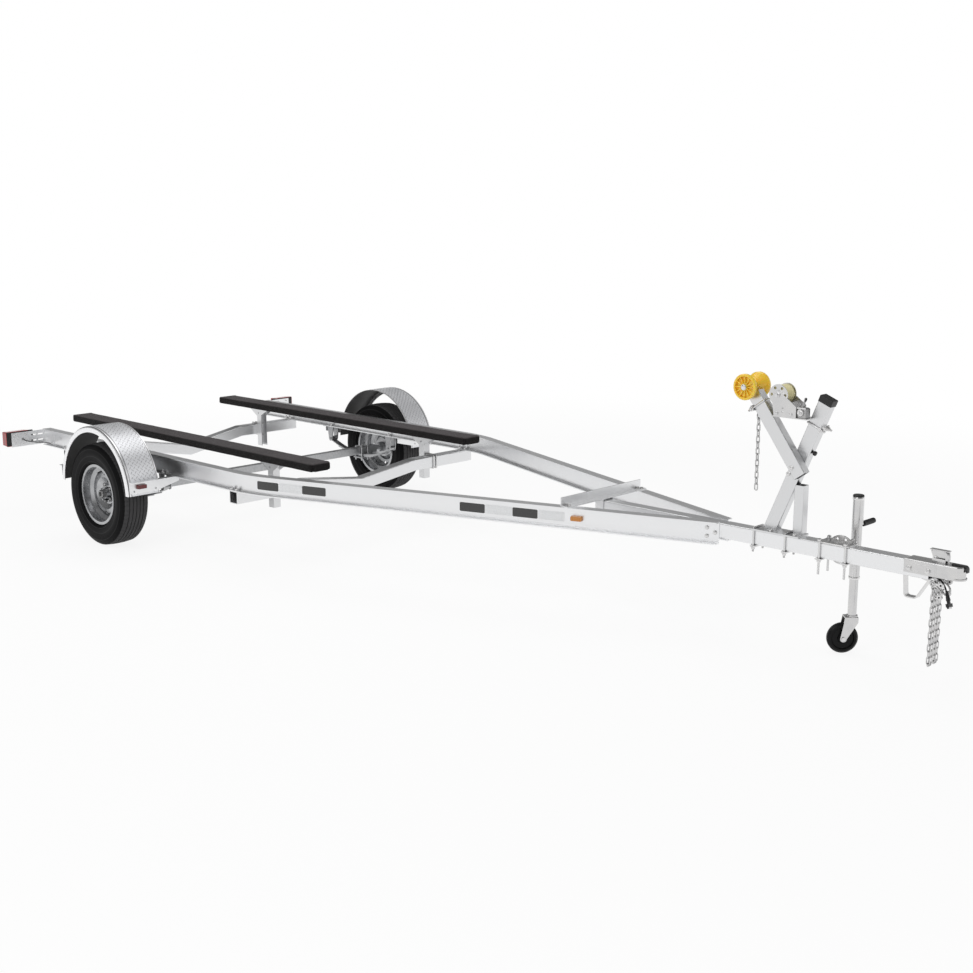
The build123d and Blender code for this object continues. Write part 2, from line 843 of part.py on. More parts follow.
# Channel posts against the crossmembers, the open side away from them
post_table = (                          # face against the crossmember, direction away from it
    (axle_x + cross_rear_ahead + cross_size / 2, 1),
    (axle_x + cross_front_ahead - cross_size / 2, -1),
)
post_bolt_half = cross_size / 2 + rod_small / 2 + rod_gap
head_hole_z = bunk_bottom - head_hole_drop
with BuildPart() as bunk_posts:
    for side, name in sides:
        for face_x, away in post_table:
            with BuildSketch(Plane.XY.offset(post_bottom)):
                with Locations((face_x + away * post_width / 2, side * bunk_y)):
                    Rectangle(post_width, post_width)
                with Locations((face_x + away * (post_width / 2 + post_wall), side * bunk_y)):
                    Rectangle(post_width, post_width - 2 * post_wall, mode=Mode.SUBTRACT)
            extrude(amount=bunk_bottom - 2 * head_wall - post_bottom)
            with BuildSketch(Plane.YZ.offset(face_x)):
                with Locations(*[(side * bunk_y + across * post_bolt_pitch / 2,
                                  cross_z + up * post_bolt_half)
                                 for across in (-1, 1) for up in (-1, 1)]):
                    Circle(rod_small / 2 + rod_gap)
            extrude(amount=away * post_wall, mode=Mode.SUBTRACT)
            with BuildSketch(Plane.XZ.offset(-side * bunk_y)):
                with Locations((face_x + away * post_width / 2, head_hole_z)):
                    Circle(rod_small / 2 + rod_gap)
            extrude(amount=post_width, both=True, mode=Mode.SUBTRACT)
save(bunk_posts, "bunk_posts")

# Square U-bolts hold each post to the crossmember behind it.
bolts = []
for side, name in sides:
    for face_x, away in post_table:
        end_x = face_x + away * (post_wall + post_bolt_tail)
        crown_x = face_x - away * (cross_size + rod_small / 2 + rod_gap)
        for across in (-1, 1):
            bolt_y = side * bunk_y + across * post_bolt_pitch / 2
            bolts.append(rod_along(
                ((end_x, bolt_y, cross_z + post_bolt_half),
                 (crown_x, bolt_y, cross_z + post_bolt_half),
                 (crown_x, bolt_y, cross_z - post_bolt_half),
                 (end_x, bolt_y, cross_z - post_bolt_half)),
                rod_small,
            ))
with BuildPart() as post_u_bolts:
    add(bolts)
save(post_u_bolts, "post_u_bolts")

# Saddles on the posts: a plate under the bunk and a tapering cheek each side of the post
with BuildPart() as bunk_brackets:
    for side, name in sides:
        for face_x, away in post_table:
            centre_x = face_x + away * post_width / 2
            with BuildSketch(Plane.XY.offset(bunk_bottom)):
                with Locations((centre_x, side * bunk_y)):
                    Rectangle(head_length, post_width + 2 * head_wall)
            extrude(amount=-2 * head_wall)
            for cheek in (-1, 1):
                cheek_y = side * bunk_y + cheek * (post_width + head_wall) / 2
                with BuildSketch(Plane.XZ.offset(-cheek_y - head_wall / 2)):
                    with BuildLine():
                        Polyline(
                            (centre_x - head_length / 2, bunk_bottom),
                            (centre_x + head_length / 2, bunk_bottom),
                            (centre_x + head_length / 2, bunk_bottom - head_lip),
                            (centre_x + post_width / 2, bunk_bottom - head_drop),
                            (centre_x - post_width / 2, bunk_bottom - head_drop),
                            (centre_x - head_length / 2, bunk_bottom - head_lip),
                            (centre_x - head_length / 2, bunk_bottom),
                        )
                    make_face()
                    with Locations((centre_x, head_hole_z)):
                        Circle(rod_small / 2 + rod_gap, mode=Mode.SUBTRACT)
                extrude(amount=head_wall)
save(bunk_brackets, "bunk_brackets")

# ---------------------------------------------------------------- lamps
lamp_plate_x = rail_rear_x - lamp_plate_behind
web_face_y = rail_rear_y + rail_web / 2
lamp_plate_low = rail_bottom + rail_flange
with BuildPart() as tail_lamp_brackets:
    for side, name in sides:
        with BuildSketch(Plane.XY.offset(lamp_plate_low)):
            with BuildLine():
                Polyline(
                    (lamp_plate_x, side * web_face_y),
                    (rail_rear_x + lamp_plate_leg, side * web_face_y),
                    (rail_rear_x + lamp_plate_leg, side * (web_face_y + lamp_plate_wall)),
                    (lamp_plate_x + lamp_plate_wall, side * (web_face_y + lamp_plate_wall)),
                    (lamp_plate_x + lamp_plate_wall, side * (rail_rear_y + lamp_plate_reach)),
                    (lamp_plate_x, side * (rail_rear_y + lamp_plate_reach)),
                    (lamp_plate_x, side * web_face_y),
                )
            make_face()
        extrude(amount=rail_depth - 2 * rail_flange - lamp_plate_short)
        with BuildSketch(Plane.YZ.offset(lamp_plate_x)):
            with Locations((side * (rail_rear_y + lamp_slot_reach), rail_bottom + rail_depth / 2)):
                with GridLocations(lamp_slot_pitch_y, lamp_slot_pitch_z, 2, 2):
                    SlotOverall(lamp_slot_length, lamp_slot_width)
        extrude(amount=lamp_plate_wall, mode=Mode.SUBTRACT)
save(tail_lamp_brackets, "tail_lamp_brackets")

with BuildPart() as tail_lamps:
    for side, name in sides:
        with BuildSketch(Plane.YZ.offset(lamp_plate_x - seat)):
            with Locations((side * (rail_rear_y + tail_lamp_reach),
                            (tail_lamp_bottom + tail_lamp_top) / 2)):
                RectangleRounded(tail_lamp_width, tail_lamp_top - tail_lamp_bottom,
                                 tail_lamp_corner)
        extrude(amount=-tail_lamp_depth, taper=tail_lamp_taper)
save(tail_lamps, "tail_lamps")

# Side marker lamps: amber on the rails' webs, red on the front bracket of each fender
marker_x = axle_x + marker_ahead
with BuildPart() as marker_lamps:
    for side, name in sides:
        along = Vector(cos(radians(rail_turn)), -side * sin(radians(rail_turn)), 0)
        out = Vector(sin(radians(rail_turn)), side * cos(radians(rail_turn)), 0)
        web = Vector(marker_x, side * rail_y(marker_x), rail_bottom + rail_depth / 2)
        with BuildSketch(Plane(origin=web + out * (rail_web / 2 + seat), x_dir=along,
                               z_dir=out)):
            RectangleRounded(marker_length, marker_height, marker_corner)
        extrude(amount=marker_depth, taper=marker_taper)
save(marker_lamps, "marker_lamps")

with BuildPart() as fender_lamps:
    for side, name in sides:
        with BuildSketch(Plane.YZ.offset(fender_x + bracket_reach + bracket_wall + seat)):
            with Locations((side * (fender_outer_y - marker_inset), rail_bottom - marker_drop)):
                RectangleRounded(marker_length, marker_height, marker_corner)
        extrude(amount=marker_depth, taper=marker_taper)
save(fender_lamps, "fender_lamps")

# ---------------------------------------------------------------- winch stand
post_up = Vector(sin(radians(post_lean)), 0, cos(radians(post_lean)))
post_length = (post_top_z - base_z) / cos(radians(post_lean))
post_y = stand_tube_thick / 2 + seat / 2
post_foot = Vector(axle_x + post_foot_ahead, post_y, base_z)
arm_y = -post_y
arm_up = Vector(-sin(radians(arm_lean)), 0, cos(radians(arm_lean)))
arm_end = Vector(axle_x + arm_top_ahead, arm_y, arm_top_z)
roller_centre = arm_end + arm_up * roller_ahead
stand_bolt_xs = (axle_x + stand_bolt_rear, axle_x + stand_bolt_front)
stand_bolt_half = tongue_size / 2 + rod_small / 2 + rod_gap
stand_bolt_holes = [(x, flank * stand_bolt_half) for x in stand_bolt_xs for flank in (-1, 1)]

with BuildPart() as stand_base:
    with BuildSketch(Plane.XY.offset(tongue_top)):
        with Locations((axle_x + (stand_base_rear + stand_base_front) / 2, 0)):
            RectangleRounded(stand_base_front - stand_base_rear, stand_base_width,
                             stand_base_corner)
        with Locations(*stand_bolt_holes):
            Circle(0.75 * rod_small + rod_gap, mode=Mode.SUBTRACT)
    extrude(amount=stand_base_wall)
save(stand_base, "stand_base")

with BuildPart() as stand_post:
    with BuildSketch(tube_plane(post_foot - post_up * stand_tube_root, post_up)):
        RectangleRounded(stand_tube_width, stand_tube_thick, stand_tube_corner)
        Rectangle(stand_tube_width - 2 * stand_tube_wall, stand_tube_thick - 2 * stand_tube_wall,
                  mode=Mode.SUBTRACT)
    extrude(amount=post_length + stand_tube_root)
    split(bisect_by=Plane.XY.offset(base_z), keep=Keep.TOP)
save(stand_post, "stand_post")

with BuildPart() as stand_post_cap:
    with BuildSketch(tube_plane(post_foot + post_up * post_length, post_up)):
        RectangleRounded(stand_tube_width + 2 * post_cap_margin,
                         stand_tube_thick + 2 * post_cap_margin, stand_tube_corner)
    extrude(amount=post_cap_height)
    fillet(stand_post_cap.faces().sort_by(Axis.Z)[-1].edges(), radius=post_cap_edge)
save(stand_post_cap, "stand_post_cap")

# Upright brace in front of the post, cut to the post's lean
post_across = tube_plane(post_foot, post_up).x_dir
with BuildPart() as stand_brace:
    with BuildSketch(Plane.XY.offset(base_z)):
        with Locations((axle_x + brace_ahead, post_y)):
            RectangleRounded(brace_size, brace_size, brace_corner)
            Rectangle(brace_size - 2 * stand_tube_wall, brace_size - 2 * stand_tube_wall,
                      mode=Mode.SUBTRACT)
    extrude(amount=brace_reach)
    split(
        bisect_by=Plane(origin=post_foot + post_across * (stand_tube_width / 2 + seat),
                        z_dir=post_across),
        keep=Keep.TOP,
    )
save(stand_brace, "stand_brace")

bow_eye_radius = link_rod * sqrt(0.5) + 1.2 * seat
arm_under = -stand_tube_width / 2
plate_frame = Plane(origin=arm_end, x_dir=Vector(0, 1, 0).cross(arm_up), z_dir=(0, -1, 0))
with BuildPart() as roller_arm:
    with BuildSketch(tube_plane(arm_end - arm_up * arm_length, arm_up)):
        RectangleRounded(stand_tube_width, stand_tube_thick, stand_tube_corner)
        Rectangle(stand_tube_width - 2 * stand_tube_wall, stand_tube_thick - 2 * stand_tube_wall,
                  mode=Mode.SUBTRACT)
    extrude(amount=arm_length)
    # The end plate narrows into the eye that the roller pin passes through.
    plate_half = stand_tube_width / 2 - stand_tube_wall
    with BuildSketch(plate_frame.offset(-arm_cheek / 2)):
        with BuildLine():
            nose = CenterArc((0, roller_ahead), roller_eye_radius, 0, 180)
            Polyline(nose @ 1, (-plate_half, 0), (-plate_half, -arm_cheek_root),
                     (plate_half, -arm_cheek_root), (plate_half, 0), nose @ 0)
        make_face()
        with Locations((0, roller_ahead)):
            Circle(roller_pin_radius + seat, mode=Mode.SUBTRACT)
    extrude(amount=arm_cheek)
    with BuildSketch(tube_plane(arm_end, arm_up)):
        Rectangle(stand_tube_width, stand_tube_thick)
    extrude(amount=-arm_lid)
    # Lug below the arm for the bow chain
    with BuildSketch(plate_frame.offset(-bow_lug_wall / 2)):
        with BuildLine():
            lug = CenterArc((arm_under - bow_lug_reach, -bow_lug_below), bow_lug_radius, 90, 180)
            Polyline(lug @ 1, (arm_under, -bow_lug_below - bow_lug_radius),
                     (arm_under, -bow_lug_below + bow_lug_radius), lug @ 0)
        make_face()
        with Locations((arm_under - bow_lug_reach, -bow_lug_below)):
            Circle(bow_eye_radius, mode=Mode.SUBTRACT)
    extrude(amount=bow_lug_wall)
save(roller_arm, "roller_arm")
bow_eye = plate_frame.from_local_coords((arm_under - bow_lug_reach, -bow_lug_below, 0))

# Two halves of a ribbed spool on one pin, either side of the arm's eye
inner_end = arm_cheek / 2 + roller_gap
land_outer = roller_half - roller_edge
land_inner = land_outer - roller_land
hollow_floor = roller_half - roller_hollow_depth
with BuildPart() as bow_roller:
    for side in (1, -1):
        half_plane = Plane(origin=roller_centre, x_dir=(0, side, 0), z_dir=(side, 0, 0))
        with BuildSketch(half_plane):
            with BuildLine():
                Polyline(
                    (inner_end, roller_pin_radius + seat), (inner_end, roller_waist_radius),
                    (inner_end + roller_waist, roller_waist_radius),
                    (land_inner - roller_flare, roller_radius - roller_edge),
                    (land_inner, roller_radius), (land_outer, roller_radius),
                    (roller_half, roller_radius - roller_edge),
                    (roller_half, roller_hollow_outer), (hollow_floor, roller_hollow_outer),
                    (hollow_floor, roller_hollow_inner), (roller_half, roller_hollow_inner),
                    (roller_half, roller_pin_radius + seat),
                    (inner_end, roller_pin_radius + seat),
                )
            make_face()
        revolve(axis=Axis(roller_centre, (0, 1, 0)))
        rib_length = roller_hollow_outer - roller_hollow_inner + 2 * roller_edge
        with BuildSketch(Plane(origin=roller_centre + Vector(0, side * hollow_floor, 0),
                               x_dir=(1, 0, 0), z_dir=(0, side, 0))):
            with PolarLocations((roller_hollow_outer + roller_hollow_inner) / 2,
                                roller_rib_count):
                Rectangle(rib_length, roller_rib_wall)
        extrude(amount=roller_hollow_depth - roller_edge)
save(bow_roller, "bow_roller")

with BuildPart() as roller_pin:
    with BuildSketch(Plane.XZ.offset(-arm_y)):
        with Locations((roller_centre.X, roller_centre.Z)):
            Circle(roller_pin_radius)
    extrude(amount=roller_half + seat + pin_head_wall, both=True)
    for side in (1, -1):
        with BuildSketch(Plane.XZ.offset(-arm_y - side * (roller_half + seat))):
            with Locations((roller_centre.X, roller_centre.Z)):
                RegularPolygon(pin_head_radius, 6)
        extrude(amount=-side * pin_head_wall)
save(roller_pin, "roller_pin")

# U-bolts over the base plate and round the tongue, with straps and nuts below it
bolts = []
for bolt_x in stand_bolt_xs:
    bolts.append(rod_along(
        ((bolt_x, -stand_bolt_half, tongue_bottom - stand_bolt_tail),
         (bolt_x, -stand_bolt_half, base_z + rod_small / 2),
         (bolt_x, stand_bolt_half, base_z + rod_small / 2),
         (bolt_x, stand_bolt_half, tongue_bottom - stand_bolt_tail)),
        rod_small,
    ))
with BuildPart() as stand_u_bolts:
    add(bolts)
    with BuildSketch(Plane.XY.offset(tongue_bottom)):
        with Locations(*[(x, 0) for x in stand_bolt_xs]):
            RectangleRounded(stand_strap_width, stand_base_width + 2 * rod_gap,
                             stand_strap_corner)
    extrude(amount=-stand_strap_wall)
    with BuildSketch(Plane.XY.offset(tongue_bottom - stand_strap_wall)):
        with Locations(*stand_bolt_holes):
            RegularPolygon(nut_radius, 6)
    extrude(amount=-nut_height)
save(stand_u_bolts, "stand_u_bolts")

# Clamps round the stand's tubes: a U-bolt with its crown on one edge and a bar on the other
clamp_table = (                         # middle of the tube there, tube's way, side of the crown
    (post_foot + post_up * ((post_clamp_z - base_z) / post_up.Z), post_up, -1),
    (arm_end - arm_up * arm_clamp_below, arm_up, 1),
)
clamp_rod_y = stand_tube_thick / 2 + rod_small / 2 + rod_gap
bolts = []
for middle, way, crown in clamp_table:
    across = tube_plane(middle, way).x_dir * crown
    tail = stand_tube_width / 2 + clamp_bar_wall + clamp_tail
    far = across * (stand_tube_width / 2 + rod_small / 2 + seat)
    aside = Vector(0, clamp_rod_y, 0)
    bolts.append(rod_along(
        (middle - across * tail - aside, middle + far - aside,
         middle + far + aside, middle - across * tail + aside),
        rod_small,
    ))
with BuildPart() as stand_clamps:
    add(bolts)
    for middle, way, crown in clamp_table:
        across = tube_plane(middle, way).x_dir * crown
        bar_face = Plane(origin=middle - across * (stand_tube_width / 2 + seat),
                         x_dir=(0, 1, 0), z_dir=-across)
        with BuildSketch(bar_face):
            Rectangle(2 * (clamp_rod_y + nut_radius), clamp_bar_width)
        extrude(amount=clamp_bar_wall)
        with BuildSketch(bar_face.offset(clamp_bar_wall)):
            with Locations((-clamp_rod_y, 0), (clamp_rod_y, 0)):
                RegularPolygon(nut_radius, 6)
        extrude(amount=nut_height)
save(stand_clamps, "stand_clamps")

# ---------------------------------------------------------------- winch
winch_x = axle_x + winch_ahead
drum_centre = Vector(winch_x, winch_y, winch_z)
arm_across = tube_plane(arm_end, arm_up).x_dir
arm_face = Plane(origin=arm_end + arm_across * (stand_tube_width / 2), z_dir=arm_across)
post_face = Plane(origin=post_foot - post_across * (stand_tube_width / 2),
                  z_dir=-post_across)
with BuildPart() as winch_frame:
    with BuildSketch(Plane.XY.offset(winch_base_z - winch_frame_wall)):
        with Locations((winch_x + winch_base_ahead, winch_y)):
            Rectangle(winch_base_length, 2 * winch_frame_half)
    extrude(amount=winch_frame_wall)
    split(bisect_by=arm_face, keep=Keep.TOP)
    split(bisect_by=post_face, keep=Keep.TOP)
    # The base runs on beside the post to carry the ratchet.
    with BuildSketch(Plane.XY.offset(winch_base_z - winch_frame_wall)):
        with Locations((winch_x, winch_y - winch_frame_half)):
            Rectangle(winch_base_front, winch_frame_half - winch_y - seat,
                      align=(Align.MIN, Align.MIN))
    extrude(amount=winch_frame_wall)
    for cheek in (-1, 1):
        cheek_y = winch_y + cheek * (winch_frame_half - winch_frame_wall / 2)
        with BuildSketch(Plane.XZ.offset(-cheek_y - winch_frame_wall / 2)):
            with BuildLine():
                hood = CenterArc((winch_x, winch_z), winch_hood_radius, winch_hood_start,
                                 winch_hood_sweep)
                Polyline(
                    hood @ 1,
                    (winch_x - winch_side_rear, winch_base_z + winch_side_shoulder),
                    (winch_x - winch_side_foot, winch_base_z),
                    (winch_x + winch_side_front, winch_base_z),
                    (winch_x + winch_side_front, winch_base_z + winch_side_step), hood @ 0,
                )
            make_face()
            with Locations((winch_x, winch_z)):
                Circle(drum_shaft_radius + seat, mode=Mode.SUBTRACT)
            with Locations(*[(winch_x + winch_side_hole_ahead,
                              winch_base_z + winch_side_hole_low + step * winch_side_hole_pitch)
                             for step in (0, 1)]):
                Circle(winch_side_hole, mode=Mode.SUBTRACT)
        extrude(amount=winch_frame_wall)
save(winch_frame, "winch_frame")

# Drum with pierced flanges on a plain shaft
shaft_end = winch_frame_half + drum_shaft_tail
with BuildPart() as winch_drum:
    with BuildSketch(Plane(origin=drum_centre, x_dir=(0, 1, 0), z_dir=(1, 0, 0))):
        with BuildLine():
            Polyline(
                (-shaft_end, 0), (-shaft_end, drum_shaft_radius), (-drum_half, drum_shaft_radius),
                (-drum_half, drum_flange_radius),
                (-drum_half + drum_flange_wall, drum_flange_radius),
                (-drum_half + drum_flange_wall, drum_core_radius),
                (drum_half - drum_flange_wall, drum_core_radius),
                (drum_half - drum_flange_wall, drum_flange_radius),
                (drum_half, drum_flange_radius), (drum_half, drum_shaft_radius),
                (shaft_end, drum_shaft_radius), (shaft_end, 0), (-shaft_end, 0),
            )
        make_face()
    revolve(axis=Axis(drum_centre, (0, 1, 0)))
    with BuildSketch(Plane(origin=drum_centre, x_dir=(1, 0, 0), z_dir=(0, -1, 0))):
        with PolarLocations(drum_hole_circle, drum_hole_count):
            Circle(drum_hole_radius)
    extrude(amount=drum_half, both=True, mode=Mode.SUBTRACT)
save(winch_drum, "winch_drum")

# Strap wound on the drum, as the solid of its turns
with BuildPart() as winch_strap:
    with BuildSketch(Plane.XZ.offset(-winch_y)):
        with Locations((winch_x, winch_z)):
            Circle(strap_radius)
            Circle(drum_core_radius + seat, mode=Mode.SUBTRACT)
    extrude(amount=drum_half - drum_flange_wall - strap_gap, both=True)
save(winch_strap, "winch_strap")

# Ratchet block beside the post, with the pawl's lever standing out of it
gear_x = winch_x + gear_rear + gear_length / 2
gear_y = winch_y - winch_frame_half + gear_inset + gear_half
with BuildPart() as winch_ratchet:
    with BuildSketch(Plane.XY.offset(winch_base_z)):
        with Locations((gear_x, gear_y)):
            Rectangle(gear_length, 2 * gear_half)
    extrude(amount=gear_height)
    chamfer(winch_ratchet.faces().sort_by(Axis.Z)[-1].edges(), length=gear_edge)
    with BuildSketch(Plane.XZ.offset(-gear_y - pawl_width / 2)):
        with BuildLine():
            foot_z = winch_base_z + gear_height
            Polyline(
                (gear_x - pawl_wall / 2, foot_z), (gear_x + pawl_wall / 2, foot_z),
                (gear_x + pawl_wall / 2 + pawl_lean, foot_z + pawl_rise),
                (gear_x - pawl_wall / 2 + pawl_lean, foot_z + pawl_rise),
                (gear_x - pawl_wall / 2, foot_z),
            )
        make_face()
    extrude(amount=pawl_width)
save(winch_ratchet, "winch_ratchet")

# ---------------------------------------------------------------- jack
jack_x = axle_x + jack_ahead
plate_y = tongue_size / 2 + swivel_plate_wall
jack_near_y = plate_y + pivot_boss_reach + seat
pivot_pin_reach = jack_y - jack_tube_radius - jack_near_y - pivot_pin_stop
clamp_xs = (jack_x - clamp_pitch / 2, jack_x + clamp_pitch / 2)
clamp_y = tongue_size / 2 + clamp_rod / 2 + seat
with BuildPart() as jack_mount:
    # Swivel plate on the left side of the tongue, with the ring of lock holes
    with BuildSketch(Plane.XZ.offset(-plate_y)):
        with Locations((jack_x, jack_pivot_z)):
            Circle(swivel_plate_radius)
            with PolarLocations(swivel_hole_circle, swivel_hole_count):
                Circle(swivel_hole_radius, mode=Mode.SUBTRACT)
    extrude(amount=swivel_plate_wall)
    with BuildSketch(Plane.XY.offset(tongue_top)):
        with Locations((jack_x, 0)):
            Rectangle(clamp_pitch + 2 * clamp_top_margin, tongue_size + 2 * swivel_plate_wall)
    extrude(amount=swivel_plate_wall)
    with BuildSketch(Plane.XZ.offset(-plate_y)):
        with Locations((jack_x, jack_pivot_z)):
            Circle(pivot_radius)
    extrude(amount=-pivot_boss_reach)
    with BuildSketch(Plane.XZ.offset(-plate_y - pivot_boss_reach)):
        with Locations((jack_x, jack_pivot_z)):
            Circle(pivot_pin_radius)
    extrude(amount=-pivot_pin_reach)
    # Clamp rods with lower straps
    with BuildSketch(Plane.XY.offset(tongue_bottom - clamp_rod_below)):
        with Locations(*[(x, flank * clamp_y) for x in clamp_xs for flank in (-1, 1)]):
            Circle(clamp_rod / 2)
    extrude(amount=tongue_size + clamp_rod_below + clamp_rod_above)
    with BuildSketch(Plane.XY.offset(tongue_bottom)):
        with Locations(*[(x, 0) for x in clamp_xs]):
            Rectangle(clamp_strap_width, tongue_size + 2 * (clamp_rod + clamp_strap_margin))
    extrude(amount=-swivel_plate_wall)
save(jack_mount, "jack_mount")

with BuildPart() as jack_tube:
    with BuildSketch(Plane.XY.offset(jack_tube_bottom)):
        with Locations((jack_x, jack_y)):
            Circle(jack_tube_radius)
            Circle(jack_tube_radius - jack_tube_wall, mode=Mode.SUBTRACT)
    extrude(amount=jack_tube_top - jack_tube_bottom)
    # Pivot tube welded on the side of the jack
    with BuildSketch(Plane.XZ.offset(-jack_near_y)):
        with Locations((jack_x, jack_pivot_z)):
            Circle(pivot_radius)
            Circle(pivot_pin_radius + seat, mode=Mode.SUBTRACT)
    extrude(amount=-(jack_y - jack_near_y - jack_tube_radius + jack_tube_wall - pivot_weld))
save(jack_tube, "jack_tube")

crank_y = jack_y + jack_tube_radius + crank_stand_off
grip_z = crank_z - crank_length
with BuildPart() as jack_cap_and_grip:
    with BuildSketch(Plane.XY.offset(jack_tube_top)):
        with Locations((jack_x, jack_y)):
            Circle(jack_tube_radius + jack_cap_margin)
    extrude(amount=jack_cap_height)
    fillet(jack_cap_and_grip.faces().sort_by(Axis.Z)[-1].edges(), radius=jack_cap_edge)
    with BuildSketch(Plane.XZ.offset(-crank_y - crank_rod - seat)):
        with Locations((jack_x, grip_z)):
            Circle(grip_radius)
            Circle(crank_rod / 2 + seat, mode=Mode.SUBTRACT)
    extrude(amount=-grip_length)
save(jack_cap_and_grip, "jack_cap_and_grip")

with BuildPart() as jack_crank:
    with BuildLine(Plane.YZ.offset(jack_x)) as crank_path:
        FilletPolyline(
            (jack_y + jack_tube_radius + seat, crank_z), (crank_y, crank_z),
            (crank_y, grip_z), (crank_y + crank_rod + grip_length + crank_tail, grip_z),
            radius=crank_rod,
        )
    with BuildSketch(Plane(origin=crank_path.line @ 0, z_dir=crank_path.line % 0)):
        Circle(crank_rod / 2)
    sweep()
save(jack_crank, "jack_crank")

leg_top = jack_tube_top - jack_leg_stroke - jack_leg_stop
with BuildPart() as jack_leg:
    with BuildSketch(Plane.XY.offset(fork_top_z)):
        with Locations((jack_x, jack_y)):
            Circle(jack_leg_radius)
            Circle(jack_leg_radius - jack_leg_wall, mode=Mode.SUBTRACT)
    extrude(amount=leg_top - fork_top_z)
    with BuildSketch(Plane.XY.offset(fork_top_z)):
        with Locations((jack_x, jack_y)):
            Circle(jack_leg_radius + jack_flange_wall)
    extrude(amount=jack_flange_wall)
save(jack_leg, "jack_leg")

roll = Vector(cos(radians(caster_heading)), sin(radians(caster_heading)), 0)
across = Vector(-roll.Y, roll.X, 0)
wheel_centre = Vector(jack_x, jack_y, caster_radius) + roll * caster_trail
fork_half = caster_width / 2 + fork_gap
crown_z = fork_top_z - seat
with BuildPart() as caster_fork:
    crown = Plane(origin=(jack_x, jack_y, crown_z), x_dir=roll, z_dir=(0, 0, 1))
    with BuildSketch(crown):
        with Locations(((fork_crown_front - fork_crown_rear) / 2, 0)):
            RectangleRounded(fork_crown_front + fork_crown_rear, 2 * (fork_half + fork_wall),
                             fork_corner)
    extrude(amount=-fork_wall)
    for flank in (-1, 1):
        side_plane = Plane(origin=Vector(jack_x, jack_y, 0) + across * (flank * fork_half),
                           x_dir=roll, z_dir=-across)
        with BuildSketch(side_plane):
            with BuildLine():
                toe = CenterArc((caster_trail, caster_radius), fork_toe_radius, 180, 180)
                Polyline(
                    toe @ 1, (fork_crown_front, crown_z), (-fork_crown_rear, crown_z),
                    (-fork_crown_rear, crown_z - fork_crown_rear), toe @ 0,
                )
            make_face()
        extrude(amount=-flank * fork_wall)
    with BuildSketch(Plane(origin=wheel_centre, x_dir=roll, z_dir=across)):
        Circle(caster_pin_radius)
    extrude(amount=fork_half + fork_wall + caster_pin_tail, both=True)
save(caster_fork, "caster_fork")

with BuildPart() as caster_wheel:
    half = caster_width / 2
    right_half = (                      # place across the tread, radius
        (half, caster_pin_radius + seat),
        (half, caster_hub_radius),
        (half - caster_web_inset, caster_hub_radius + caster_web_inset / 2),
        (half - caster_web_inset, caster_web_radius),
        (half - caster_band_inset, caster_web_radius + caster_web_inset / 2),
        (half - caster_band_inset, caster_band_radius),
        (half - caster_crown_inset, caster_radius),
    )
    left_half = [(-place, radius) for place, radius in reversed(right_half)]
    with BuildSketch(Plane(origin=wheel_centre, x_dir=across, z_dir=-roll)):
        with BuildLine():
            Polyline(*right_half, *left_half, right_half[0])
        make_face()
    revolve(axis=Axis(wheel_centre, across))
save(caster_wheel, "caster_wheel")

# ---------------------------------------------------------------- coupler
# A pressed channel over the tongue's end that narrows to the round nose above the ball
ball_x = axle_x + ball_ahead
coupler_rear_x = axle_x + coupler_rear
sleeve_front_x = axle_x + coupler_sleeve_front
coupler_top = tongue_top + seat + coupler_wall
coupler_half = tongue_size / 2 + seat + coupler_wall
with BuildPart() as coupler:
    coupler_passes = (                  # set-in, depth below the top, what the pass does
        (0.0, 0.0, Mode.ADD),
        (coupler_wall, coupler_wall, Mode.SUBTRACT),
    )
    for set_in, below, mode in coupler_passes:
        with BuildSketch(Plane.XY.offset(coupler_skirt_bottom)):
            with BuildLine():
                nose = CenterArc((ball_x, 0), nose_radius - set_in, -90, 180)
                Polyline(
                    nose @ 1, (sleeve_front_x, coupler_half - set_in),
                    (coupler_rear_x, coupler_half - set_in),
                    (coupler_rear_x, -coupler_half + set_in),
                    (sleeve_front_x, -coupler_half + set_in), nose @ 0,
                )
            make_face()
        extrude(amount=coupler_top - below - coupler_skirt_bottom, mode=mode)
        if mode == Mode.ADD:
            fillet(coupler.faces().sort_by(Axis.Z)[-1].edges(), radius=coupler_edge)
    # Rolled lip round the nose
    with BuildSketch(Plane.XY.offset(coupler_skirt_bottom)):
        with BuildLine():
            outer_lip = CenterArc((ball_x, 0), nose_radius + nose_lip, -90, 180)
            inner_lip = CenterArc((ball_x, 0), nose_radius - coupler_wall, -90, 180)
            Line(outer_lip @ 0, inner_lip @ 0)
            Line(outer_lip @ 1, inner_lip @ 1)
        make_face()
    extrude(amount=nose_lip_height)
save(coupler, "coupler")

lever_top_z = coupler_top + lever_height
with BuildPart() as coupler_lever:
    with BuildSketch(Plane.XZ.offset(-lever_wall / 2)):
        with BuildLine():
            Polyline(
                (axle_x + lever_foot, coupler_top + seat),
                (axle_x + lever_front, coupler_top + seat),
                (axle_x + lever_front, lever_top_z), (axle_x + lever_rear, lever_top_z),
                (axle_x + lever_foot, coupler_top + seat),
            )
        make_face()
    extrude(amount=lever_wall)
    with BuildSketch(Plane.XY.offset(lever_top_z)):
        with Locations((axle_x + (lever_rear + lever_front) / 2, 0)):
            Rectangle(lever_front - lever_rear, lever_lip)
    extrude(amount=lever_lip_wall)
save(coupler_lever, "coupler_lever")

